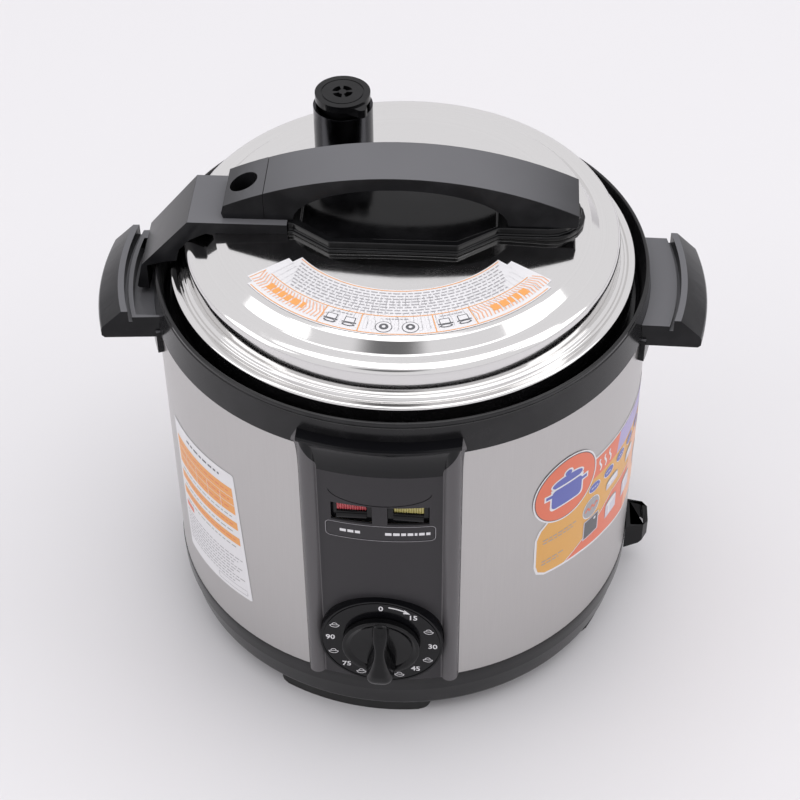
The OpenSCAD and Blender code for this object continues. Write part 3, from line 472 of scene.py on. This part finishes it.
def turned(name, path, body, slots, stands_for=(), steps=256):
    """An outline of (radius, height) turned about the upright axis."""
    points = [(r * math.cos(a), r * math.sin(a), z) for i in range(steps)
              for a in [2 * math.pi * i / steps] for r, z in path]
    n = len(path)
    faces = [(i * n + k, (i + 1) % steps * n + k, (i + 1) % steps * n + (k + 1) % n,
              i * n + (k + 1) % n) for i in range(steps) for k in range(n)]
    piece = build(name, points, faces, body, slots, stands_for)
    piece.modifiers.new("shade", "WEIGHTED_NORMAL").keep_sharp = False
    return piece


# %% [markdown]
# ## Lid
#
# The lid is one sheet of steel: a rolled rim that hangs over the pot, a narrow step with a bead,
# a steep wall, a rounded shoulder, a sloping ring and a slightly domed disc. Its section is
# drawn as one closed outline, outside first and then back along the inside. Eight lugs are
# pressed inwards from the skirt: they are the half of the bayonet that holds the pressure.

# %% Spin the lid
sheet = 1.4


def disc_height(r):
    return disc_z + 2 * (1 - (r / disc_r) ** 2)


outside = [
    (lid_r, lid_low, 0.3), (lid_r, lid_z + 1.9, 2.4), (lid_r - 3.6, lid_z + 1.9, 1.0),
    (dome_r + 4.6, lid_z + 1.2, 0.7), (dome_r + 3.4, lid_z + 1.3, 0.7),
    (dome_r + 2.7, lid_z + 3.0, 0.9), (dome_r + 1.1, lid_z + 3.3, 0.9),
    (dome_r + 0.1, shoulder_z - 0.1, 8.6), (dome_r - 10.8, shoulder_z, 2.0),
    (disc_r + 1.2, disc_z - 0.3, 1.6)]
disc = [(r, disc_height(r), 0) for r in (96, 80, 60, 40, 20, 0)]
inside = [
    (0, disc_z + 2 - sheet, 0), (disc_r - 1, disc_z - sheet, 1.6),
    (dome_r - 11.2, shoulder_z - sheet, 1.0), (dome_r - sheet, shoulder_z - sheet, 7.6),
    (dome_r - sheet + 0.9, lid_z + 3, 1.0), (lid_r - 5.5, lid_z + 0.2, 1.2),
    (lid_r - sheet, lid_z + 0.3, 1.2), (lid_r - sheet, lid_low, 0.3)]
turned("lid_dome", rounded(outside + disc + inside, 7), "lid", ["steel_mirror"], ["lid_shell"], 288)


# %% Bayonet lugs of the lid
def arc_block(r0, r1, a0, a1, z0, z1, steps=10):
    """Points and faces of a block that is bent round the axis."""
    spots = [(r * math.cos(math.radians(a)), r * math.sin(math.radians(a)), z)
             for k in range(steps + 1) for a in [a0 + (a1 - a0) * k / steps]
             for r, z in ((r0, z0), (r1, z0), (r1, z1), (r0, z1))]
    faces = [(4 * k + i, 4 * k + (i + 1) % 4, 4 * k + 4 + (i + 1) % 4, 4 * k + 4 + i)
             for k in range(steps) for i in range(4)]
    return spots, faces + [(3, 2, 1, 0), tuple(4 * steps + i for i in range(4))]


def joined(blocks):
    points, faces = [], []
    for spots, rows in blocks:
        faces += [tuple(len(points) + v for v in row) for row in rows]
        points += spots
    return points, faces


lug_count, lug_inner, lug_thick = 8, 120.6, 3
lug_outer = lid_r - sheet + 0.2
lug_z = rim_z - 12.9
lug_from, lug_to = 12.5, 32.5
lugs = build("lid_lugs", *joined([
    arc_block(lug_inner, lug_outer, first + lug_from, first + lug_to, lug_z - lug_thick, lug_z)
    for i in range(lug_count) for first in [360 / lug_count * i]]), "lid", ["steel_mirror"])
soften(lugs, 0.5, weld=False)

# %% [markdown]
# ## Collar
#
# The collar is the black ring that covers the top of the sleeve. Its wall is smooth outside, its
# lip is round, and inside it falls in a cone to the outer pot. In the corner between lid and
# collar this dark cone is what frames the bright lid.

# %% Turn the collar
inner_r, cone_top_r, cone_mid_r, cone_low_r, floor_r = 119.3, 132.2, 131.2, 130.6, 128.8
plug_in, plug_out = body_r - 3.4, body_r - 0.95
floor_top, floor_foot = sleeve_high - 0.7, sleeve_high - 2.9
plug_foot, wall_foot = sleeve_high - 4.9, sleeve_high + 0.1
collar_outline = [
    (inner_r, floor_top, 0.2), (inner_r, floor_foot, 0.2),
    (plug_in - 1, floor_foot, 0.2), (plug_in, plug_foot, 0.2),
    (plug_out, plug_foot, 0.2), (plug_out, wall_foot, 0.1),
    (collar_r, wall_foot, 0.5), (lip_r + 0.35, lip_z - 3.1, 0.2),
    (lip_r - 0.35, lip_z - 2.8, 0.15), (lip_r - 0.35, lip_z - 2.4, 0.15),
    (lip_r, lip_z - 2.2, 0.2), (lip_r, lip_z, 1.0), (lip_r - 1.9, lip_z, 0.8),
    (cone_top_r, lip_z - 2.6, 1.0), (cone_mid_r, rim_z - 12, 2.0),
    (cone_low_r, sleeve_high + 1.5, 1.2), (floor_r, floor_top, 0.8)]
turned("collar_ring", rounded(collar_outline, 6), "housing", ["black_satin"], ["collar"])

# %% [markdown]
# ## Printed labels
#
# Three labels are stuck on the cooker: two on the sleeve and one on the lid. A label is a film a
# tenth of a millimetre thick, so each printed shape is a flat outline that is laid on the
# surface. The outline is first cut into narrow strips, because a long flat face can't follow a
# curve. The wording is replaced by rows of dashes and the numerals by plain pictures.


# %% Inks
def ink(name, colour, rough=0.32):
    made = Finish(name, Specular_IOR_Level=0.45)
    dots = made.noise(0.8, 2.0)
    shade = tuple(c * 0.93 for c in colour)
    made.set(Base_Color=made.blend(dots, shade, colour), Roughness=dots * 0.06 + rough)
    return keep(name, made)


inks = ["film_white", "film_orange", "film_amber", "film_coral", "film_peach", "film_lavender",
        "film_blue", "film_grey", "film_dark", "film_pale"]
for name, colour in zip(inks, (
        (0.76, 0.75, 0.77), (0.82, 0.36, 0.10), (0.72, 0.38, 0.10), (0.74, 0.18, 0.10),
        (0.80, 0.42, 0.26), (0.40, 0.35, 0.60), (0.12, 0.14, 0.44), (0.36, 0.35, 0.37),
        (0.10, 0.10, 0.11), (0.60, 0.58, 0.66))):
    ink(name, colour)
WHITE, ORANGE, AMBER, CORAL, PEACH, LAVENDER, BLUE, GREY, DARK, PALE = range(10)


# %% Flat shapes
def plate(u0, u1, v0, v1):
    return [(u0, v0), (u1, v0), (u1, v1), (u0, v1)]


def oval(u, v, ru, rv=None, count=28):
    rv = rv or ru
    turns = [2 * math.pi * i / count for i in range(count)]
    return [(u + ru * math.cos(t), v + rv * math.sin(t)) for t in turns]


def soft_plate(u0, u1, v0, v1, r, tilt=0.0):
    """A rectangle with rounded corners, leaning by an angle in degrees."""
    corners = [(u1 - r, v1 - r, 0), (u0 + r, v1 - r, 90),
               (u0 + r, v0 + r, 180), (u1 - r, v0 + r, 270)]
    path = [(u + r * math.cos(t), v + r * math.sin(t))
            for u, v, a in corners for k in range(7) for t in [math.radians(a + k * 15)]]
    return leaning(path, (u0 + u1) / 2, (v0 + v1) / 2, tilt)


def leaning(path, u0, v0, tilt):
    c, s = math.cos(math.radians(tilt)), math.sin(math.radians(tilt))
    return [(u0 + (u - u0) * c - (v - v0) * s, v0 + (u - u0) * s + (v - v0) * c) for u, v in path]


def line(path, width):
    """A thin line along a path, one narrow four-sided shape per step."""
    rows = []
    for (a, b), (c, d) in zip(path, path[1:]):
        reach = math.hypot(c - a, d - b) or 1
        x, y = (d - b) / reach * width / 2, (a - c) / reach * width / 2
        rows.append([(a + x, b + y), (c + x, d + y), (c - x, d - y), (a - x, b - y)])
    return rows


def dashes(u0, u1, v, tall, long=5.0):
    """A row of short strokes that stands for a line of print."""
    row, u = [], u0
    while u < u1 - 1:
        end = min(u + random.uniform(0.35, 1.0) * long, u1)
        row.append(plate(u, end, v - tall / 2, v + tall / 2))
        u = end + 0.22 * long
    return row


def printed(name, shapes, wrap, body, step_u=2.4, step_v=None):
    """Lay (outline, ink, level) shapes on a surface, each level a little above the last."""
    points, faces, marks = [], [], []
    for outline, colour, level in shapes:
        around = sum(a * d - b * c for (a, b), (c, d) in zip(outline, outline[1:] + outline[:1]))
        flat = bmesh.new()
        flat.faces.new([flat.verts.new((u, v, 0)) for u, v in outline[::1 if around > 0 else -1]])
        bmesh.ops.triangulate(flat, faces=flat.faces[:])
        for axis, step in ((0, step_u), (1, step_v)):
            spots = [p[axis] for p in outline]
            for k in range(1, math.ceil((max(spots) - min(spots)) / step) if step else 1):
                at, along = [0, 0, 0], [0, 0, 0]
                at[axis], along[axis] = min(spots) + k * step, 1
                bmesh.ops.bisect_plane(flat, geom=flat.verts[:] + flat.edges[:] + flat.faces[:],
                                       plane_co=at, plane_no=along)
        flat.verts.index_update()
        start = len(points)
        points += [wrap(v.co.x, v.co.y, 0.12 + 0.05 * level) for v in flat.verts]
        faces += [tuple(start + v.index for v in f.verts) for f in flat.faces]
        marks += [colour] * len(flat.faces)
        flat.free()
    return build(name, points, faces, body, inks, marks=marks, weld=False)


def on_body(middle, height):
    def wrap(u, v, lift):
        a, r = math.radians(middle) + u / body_r, body_r + lift
        return r * math.cos(a), r * math.sin(a), height + v
    return wrap


def on_lid(u, v, lift):
    a = math.radians(u)
    return v * math.cos(a), v * math.sin(a), disc_height(v) + lift


random.seed(7)

# %% [markdown]
# ## Cooking-times label on the left of the sleeve
#
# A white film with an orange table: one deep heading, then rows that are orange and white by
# turns, a block of small print and a box at the foot. It leans a few degrees on the sleeve.

# %% Stick the left label
table = [(soft_plate(-32.3, 32.3, -49.2, 49.2, 1.5), WHITE, 0)]
table += [(row, DARK, 1) for row in dashes(-14, 20, 43.5, 1.5, 6)]
for top, foot in ((38, 18), (12, 6), (0, -6)):
    table.append((plate(-29.5, 29.5, foot, top), ORANGE, 1))
for u in (-18, -6, 6, 18):
    table += [(row, WHITE, 2) for row in line([(u, 18), (u, 30)], 0.35)]
table += [(row, WHITE, 2) for v in (25, 31) for row in line([(-29.5, v), (29.5, v)], 0.35)]
for v in (34.5, 28, 21.5, 9, -3):
    table += [(row, CORAL, 2) for row in dashes(-26, 26, v, 0.8, 5)]
for v in (15, 3, -9):
    table += [(row, GREY, 1) for row in dashes(-26, 26, v, 0.9, 5)]
table.append((soft_plate(-29, -19, -15.5, -11.5, 0.8), CORAL, 1))
for i in range(9):
    table += [(row, GREY, 1) for row in dashes(-29, 29 - 4 * (i % 3), -18.5 - 2.7 * i, 0.75, 4)]
table += [(row, GREY, 1) for row in line(soft_plate(4, 29, -46.5, -42.5, 0.8) + [(29, -44)], 0.35)]
printed("left_label", [(leaning(row, 0, 0, 4), colour, level) for row, colour, level in table],
        on_body(-140.9, 115.3), "housing")

# %% [markdown]
# ## Picture label on the right of the sleeve
#
# The large label is cut to its own outline: a round badge at the upper left that runs into a
# long amber band round the body, with a coral and lavender band above and a coral wedge below.
# All of it has a white edge, which is the film itself showing round the print.

# %% Stick the right label
edge = [(-74, 141), (-79, 136.5), (-81.6, 130), (-81.4, 108), (-79.5, 102), (-74, 98.6), (-66, 97.8),
        (-45, 96.2), (-21, 92.6), (5, 86), (40, 86), (78, 90), (80, 120), (79, 163), (40, 165.5),
        (0, 166), (-40, 166), (-52, 164)]
inner = [(-73, 140), (-77.6, 135.6), (-80.1, 129.6), (-79.9, 108.6), (-78.3, 103.2), (-73.6, 100.2),
         (-66, 99.4), (-45, 97.8), (-21, 94.2), (5, 87.6), (40, 87.6), (76.6, 91.4), (78.5, 120),
         (77.6, 161.6), (40, 164), (0, 164.5), (-40, 164.5), (-50, 163)]
picture = [(edge, WHITE, 0), (inner, AMBER, 1),
           ([(-58, 98.9), (-45, 97.8), (-21, 94.2), (5, 87.6), (40, 87.6), (76.6, 91.4), (78, 108),
             (40, 116), (10, 121), (-16, 122), (-34, 112)], CORAL, 2),
           ([(5, 89), (40, 89), (76, 93), (78, 150), (40, 150), (10, 138)], PEACH, 3),
           ([(-42, 150), (-14, 149.5), (-11, 164.5), (-42, 164.5)], CORAL, 2),
           ([(-14, 149.5), (30, 149), (78.3, 149), (77.6, 161.6), (40, 164), (0, 164.5), (-11, 164.5)],
            LAVENDER, 2)]
picture += [(row, WHITE, 3) for row in line(
    [(-59, 98.9), (-34, 112.6), (-16, 122.6), (10, 121.6)], 0.7)]
for k in range(3):
    wave = [(-33 + 5 * k + 1.1 * math.sin(t / 1.5), 152.5 + t) for t in (0, 1.5, 3, 4.5, 6, 7.5, 9)]
    picture += [(row, WHITE, 4) for row in line(wave, 1.3)]
for k in range(5):
    u, v = -37 + 14.5 * k, 143 + 0.3 * k
    picture += [(oval(u, v, 5.4, 3.7), WHITE, 4), (oval(u, v, 4.9, 3.2), BLUE, 5)]
    picture += [(row, WHITE, 6) for row in dashes(u - 3, u + 3, v, 0.7, 2.4)]
picture += [(oval(-38.5, 128, 7.8), WHITE, 3), (oval(-38.5, 128, 7.2), GREY, 4)]
picture += [(row, CORAL, 5) for row in line(
    [(-44, 127), (-42, 129.6), (-40, 126.4), (-38, 129.6), (-36, 126.4), (-34, 129.6), (-33, 128)], 1.1)]
picture += [(plate(-44.5, -30.5, 104.5, 119.5), PALE, 4), (plate(-43.7, -31.3, 105.3, 118.7), DARK, 5),
            (oval(-34.5, 116.4, 1.0), WHITE, 6)]
for u, v, wide, tall in ((-16, 110, 6.5, 9), (6, 108, 6.5, 10), (30, 112, 7, 10), (-17, 131, 7, 4),
                         (8, 131, 6, 5), (33, 134, 6, 6)):
    picture += [
        (oval(u, v + tall * 0.55, wide, 2.6), GREY, 4),
        (plate(u - wide, u + wide, v - tall * 0.6, v + tall * 0.5), PALE, 5),
        (oval(u, v + tall * 0.5, wide * 0.9, 1.9), WHITE, 6),
        (plate(u - wide * 0.5, u - wide * 0.2, v - tall * 0.5, v + tall * 0.3), WHITE, 6)]
for v, end in ((127, -50), (124.6, -54), (110, -60), (107.6, -64)):
    picture += [(row, GREY, 3) for row in dashes(-76, end, v, 0.8, 4)]
badge = (-61, 160.3)
picture += [(oval(*badge, 23.4, count=64), WHITE, 5), (oval(*badge, 22.4, count=64), DARK, 6),
            (oval(*badge, 21.9, count=64), CORAL, 7)]
u, v = badge
for grow, colour, level in ((1.1, WHITE, 8), (0.0, BLUE, 9)):
    picture += [
        (soft_plate(u - 11 - grow, u + 11 + grow, v - 11 - grow, v + 3 + grow, 3), colour, level),
        (plate(u - 15 - grow, u + 15 + grow, v - 1.4 - grow, v + 0.8 + grow), colour, level),
        (oval(u, v + 6.4, 11 + grow, 3.6 + grow), colour, level),
        (oval(u, v + 11.4, 2.4 + grow, 2.0 + grow), colour, level)]
picture.append((plate(u - 12, u + 12, v + 3.2, v + 4.4), WHITE, 10))
printed("right_label", picture, on_body(-21, 0), "housing")

# %% [markdown]
# ## Instruction label on the lid
#
# The lid's label is an arc that lies in front of the handle. It has small print near the handle,
# three boxes with little pictures of pots and valves near its outer edge, and a hatched orange
# tab at each end. Its outline is drawn as angle against distance from the axis.

# %% Stick the lid label
first, last = -144.4, -32.4
middle = (first + last) / 2
lid_print = [(plate(first + 3, last - 3, 64, 98), WHITE, 0), (plate(first, last, 70, 95), WHITE, 0)]
for u0, u1 in ((first + 1, middle - 25), (middle + 25, last - 1)):
    lid_print += [(row, PEACH, 1) for k in range(22) for u in [u0 + (u1 - u0) * k / 22]
                  for row in line([(u, 85), (u + 1.8, 90), (u + 1.2, 94.5)], 0.45)]
    lid_print += [(row, ORANGE, 2) for row in dashes(u0 + 7, u1 - 7, 90, 4.5, 3.0)]
    lid_print += [(row, ORANGE, 2) for row in line([(u0, 84.4), (u0, 94.6)], 0.3)]
for v in (65, 84, 97):
    lid_print += [(row, ORANGE, 2) for row in line([(first + 4, v), (last - 4, v)], 0.5)]
for u in (-25, -12, 12, 25):
    lid_print += [(row, ORANGE, 2) for row in line([(middle + u, 84), (middle + u, 97)], 0.35)]
for k in range(8):
    lid_print += [(row, GREY, 2) for row in dashes(first + 6 + k, last - 6 - k, 67 + 2.1 * k, 0.7, 3.2)]
for u in (-21.6, -15.4, 15.4, 21.6):
    u += middle
    lid_print += [(oval(u, 93.4, 2.1, 1.1), DARK, 2), (plate(u - 1.8, u + 1.8, 88, 92), DARK, 2),
                  (plate(u - 1.5, u + 1.5, 88.5, 91.5), WHITE, 3),
                  (plate(u - 2.4, u + 2.4, 91.6, 92.3), DARK, 3), (oval(u, 93.3, 1.5, 0.6), WHITE, 3)]
for u in (-4.2, 4.2):
    u += middle
    lid_print += [(oval(u, 92, 2.7, 4.0), DARK, 2), (oval(u, 92, 2.45, 3.6), WHITE, 3),
                  (oval(u, 91.8, 1.5, 2.2), DARK, 4), (oval(u, 91.8, 0.6, 0.9), WHITE, 5)]
for u in (-18.5, 0, 18.5):
    lid_print += [(row, GREY, 2)
                  for row in dashes(middle + u - 4, middle + u + 4, 86, 0.7, 1.6)]
printed("lid_label", lid_print, on_lid, "lid", 2.5, 6)

# %% [markdown]
# ## Dial print
#
# The ring round the knob is printed in white: minutes from 0 to 90, an arrow after the 0 and a
# few small pictures of food. The figures come from the built-in font, turned into flat faces and
# laid on the dial plate, which stands a little off the front like the whole panel.

# %% Print the dial
panel_turn = Matrix.Rotation(-panel_lean, 3, "Z")
dial_face = body_r + 4.6
dial_white = (WHITE, 0)


def on_dial(u, v, lift):
    return tuple(panel_turn @ Vector((u, -dial_face - lift + 0.06, dial_centre + v)))


def around(degrees, reach, path):
    """A shape moved out from the dial's middle, by an angle clockwise from the top."""
    t = math.radians(degrees)
    return [(u + reach * math.sin(t), v + reach * math.cos(t)) for u, v in path]


def figures(words, size):
    """Flat outlines of a number, one per face of the font's own mesh."""
    curve = bpy.data.curves.new("figures", "FONT")
    curve.body, curve.size, curve.align_x, curve.align_y = words, size, "CENTER", "CENTER"
    curve.resolution_u, curve.offset = 3, 0.1
    holder = bpy.data.objects.new("figures", curve)
    bpy.context.scene.collection.objects.link(holder)
    bpy.context.view_layer.update()
    mesh = holder.to_mesh()
    rows = [[tuple(mesh.vertices[i].co[:2]) for i in face.vertices] for face in mesh.polygons]
    holder.to_mesh_clear()
    bpy.data.objects.remove(holder)
    bpy.data.curves.remove(curve)
    return rows


figure_r, picture_r, arrow_r = 28.4, 28.6, 30.2
minutes = {"0": 0, "15": 38, "30": 92, "45": 138, "60": 180, "75": 224, "90": 274}
dial = []
for words, degrees in minutes.items():
    dial += [(around(degrees, figure_r, row), *dial_white) for row in figures(words, 5.2)]
arrow = [(arrow_r * math.sin(t), arrow_r * math.cos(t))
         for t in [math.radians(a) for a in range(8, 27, 3)]]
dial += [(row, *dial_white) for row in line(arrow, 0.9)]
dial.append((around(27, arrow_r, [(2.4, -1.6), (-0.9, 1.8), (-1.5, -1.4)]), *dial_white))
bowl = [(2.6 * math.cos(t), 1.9 * math.sin(t)) for t in [math.radians(a) for a in range(180, 361, 20)]]
steam = [(-1.6, 0.5), (-0.6, 1.7), (0.6, 1.7), (1.6, 0.5)]
for degrees in (66, 116, 160, 204, 250, 296):
    dial += [(around(degrees, picture_r, row), *dial_white)
             for path in (bowl + bowl[:1], steam) for row in line(path, 0.4)]
printed("dial_print", dial, on_dial, "housing", None)

# %% [markdown]
# Under the two lamps a thin grey line frames the place of their names, which are left as rows
# of dashes.


# %% Print the lamps' frame
def on_panel(u, v, lift):
    r = body_r + 1.4 + lift
    return tuple(panel_turn @ Vector((u, -math.sqrt(r * r - u * u), v)))


lamp_z = sleeve_low + 135
tag = soft_plate(-29, 29, lamp_z - 18.9, lamp_z - 7.9, 2.5)
names = [(row, GREY, 0) for row in line(tag + tag[:1], 0.3)]
name_z = lamp_z - 13.4
for centre, half in ((-15.3, 6), (14.5, 11.8)):
    names += [(row, WHITE, 0) for row in dashes(centre - half, centre + half, name_z, 2.0, 3.6)]
printed("lamp_names", names, on_panel, "housing")

# %% [markdown]
# ## Timer knob
#
# The knob is a dished disc with a lever across it. The lever is low and narrow at its top end,
# draws in at the waist and grows into a round thumb bulb that stands well clear of the panel.
# It is made like a boat's hull: a section at each of many stations, joined by a skin.

# %% Turn the disc and skin the lever
knob_r = (high("timer_knob").z - low("timer_knob").z) / 2
knob_back = body_r + 5.2
sections, around_count = 40, 28


def lever(t):
    """Half width and height of the lever from its top end, t = 0, to its foot, t = 1."""
    wide = 3.4 + 1.2 * math.sin(math.pi * min(t / 0.36, 1)) + 7.6 * max(0, (t - 0.42) / 0.58) ** 1.5
    tall = 4.6 + 12.6 * min(t / 0.72, 1) ** 0.85
    close = math.sqrt(max(0.0, 1 - max(0, (t - 0.80) / 0.20) ** 2)) * min(1, (t / 0.03) ** 0.5)
    return wide * close, tall * (0.35 + 0.65 * close)


points = []
for i in range(sections + 1):
    t = i / sections
    wide, tall = lever(t)
    up = (knob_r - 0.7) * (1 - 2 * t)
    for k in range(around_count + 1):
        a = math.pi * k / around_count
        x = wide * math.copysign(abs(math.cos(a)) ** 0.6, math.cos(a))
        y = -knob_back - 1 - (tall - 1) * math.sin(a) ** 0.5
        points.append(panel_turn @ Vector((x, y, dial_centre + up)))
n = around_count + 1
faces = [(i * n + k, i * n + (k + 1) % n, (i + 1) * n + (k + 1) % n, (i + 1) * n + k)
         for i in range(sections) for k in range(n)]
faces += [tuple(range(n))[::-1], tuple(sections * n + k for k in range(n))]
rim = rounded([(0, 0, 0), (knob_r, 0, 0.3), (knob_r, 4, 0.9), (knob_r - 2.0, 4, 0.8),
               (knob_r - 4.4, 3.0, 0.8), (0, 2.6, 0)], 5)
start, m, spokes = len(points), len(rim), 96
points += [panel_turn @ Vector((r * math.cos(a), -knob_back - d, dial_centre + r * math.sin(a)))
           for j in range(spokes) for a in [2 * math.pi * j / spokes] for r, d in rim]
faces += [(here + k, here + (k + 1) % m, following + (k + 1) % m, following + k)
          for j in range(spokes) for here in [start + j * m]
          for following in [start + (j + 1) % spokes * m] for k in range(m)]
knob = build("knob", points, faces, "timer", ["black_gloss"], ["timer_knob"])
knob.modifiers.new("shade", "WEIGHTED_NORMAL").keep_sharp = False

# %% [markdown]
# ## Camera, light and floor
#
# The cooker is looked at from above its front, a little from its right. The floor is a plain
# pale sheet, and the light is a bright studio: a soft world, one large soft light above and two
# at the sides. Polished steel shows what surrounds it, so the world has one dim patch on the
# camera's side, as a real studio has, which gives the lid its dark bands.

# %% Camera
body_radius, distance, lens, sensor = 0.136, 8.186, 85.347, 36
turn = Matrix.Rotation(math.radians(3.6), 3, "Z")
tilt, roll = math.radians(43.56), math.radians(-0.506)
forward = Vector((0, math.cos(tilt), -math.sin(tilt)))
above = Vector((0, math.sin(tilt), math.cos(tilt)))
right = Vector((1, 0, 0)) * math.cos(roll) + above * math.sin(roll)
above = above * math.cos(roll) - Vector((1, 0, 0)) * math.sin(roll)
aim = Vector((-0.015, 0, 0.647)) * body_radius + Vector((0, 0, sleeve_low * MM - 0.00005))
axes = [turn @ v for v in (right, above, -forward)]
spot = turn @ (aim - forward * distance * body_radius)
camera = bpy.data.objects.new("camera", bpy.data.cameras.new("camera"))
camera.data.lens, camera.data.sensor_width = lens, sensor
camera.data.clip_start, camera.data.clip_end = 0.01, 100
camera.matrix_world = Matrix.Translation(spot) @ Matrix(axes).transposed().to_4x4()
bpy.context.scene.collection.objects.link(camera)
bpy.context.scene.camera = camera
print("camera at", [round(v, 3) for v in spot])

# %% Floor
floor_finish = Finish("floor_sheet", Specular_IOR_Level=0.2)
floor_finish.set(Base_Color=floor_finish.blend(
    floor_finish.noise(400, 1.0), (0.71, 0.70, 0.717), (0.722, 0.712, 0.729)), Roughness=0.6)
mesh = bpy.data.meshes.new("floor")
side = 12
mesh.from_pydata([(-side, -side, 0), (side, -side, 0), (side, side, 0), (-side, side, 0)], [],
                 [(0, 1, 2, 3)])
mesh.materials.append(floor_finish.material)
floor = bpy.data.objects.new("floor", mesh)
bpy.context.scene.collection.objects.link(floor)


# %% Studio light
def softbox(name, place, size, watts, target=(0, 0, 0.15)):
    lamp = bpy.data.lights.new(name, "AREA")
    lamp.shape, lamp.size, lamp.size_y, lamp.energy = "RECTANGLE", *size, watts
    box = bpy.data.objects.new(name, lamp)
    box.location = place
    box.rotation_euler = (Vector(target) - Vector(place)).to_track_quat("-Z", "Y").to_euler()
    bpy.context.scene.collection.objects.link(box)


softbox("light_above", (0.2, 0.3, 2.6), (2.6, 2.2), 24)
softbox("light_left", (-2.0, -0.6, 1.3), (1.2, 1.6), 7)
softbox("light_right", (2.0, -0.2, 1.4), (1.2, 1.6), 7)

world = bpy.data.worlds.new("studio")
world.use_nodes = True
bpy.context.scene.world = world
tree = world.node_tree
facing = tree.nodes.new("ShaderNodeTexCoord")
toward = tree.nodes.new("ShaderNodeVectorMath")
toward.operation = "DOT_PRODUCT"
toward.inputs[1].default_value = Vector((-0.05, -0.70, 0.71)).normalized()
patch_edge, patch_core, open_light, dim_light = 0.95, 0.995, 1.0, 0.2
dim = tree.nodes.new("ShaderNodeMapRange")
dim.interpolation_type = "SMOOTHSTEP"
for index, value in enumerate((patch_edge, patch_core, open_light, dim_light), start=1):
    dim.inputs[index].default_value = value
tree.links.new(facing.outputs["Generated"], toward.inputs[0])
tree.links.new(toward.outputs["Value"], dim.inputs[0])
tree.links.new(dim.outputs[0], tree.nodes["Background"].inputs["Strength"])
tree.nodes["Background"].inputs["Color"].default_value = (0.90, 0.89, 0.91, 1)
bpy.context.scene.view_settings.view_transform = "Standard"
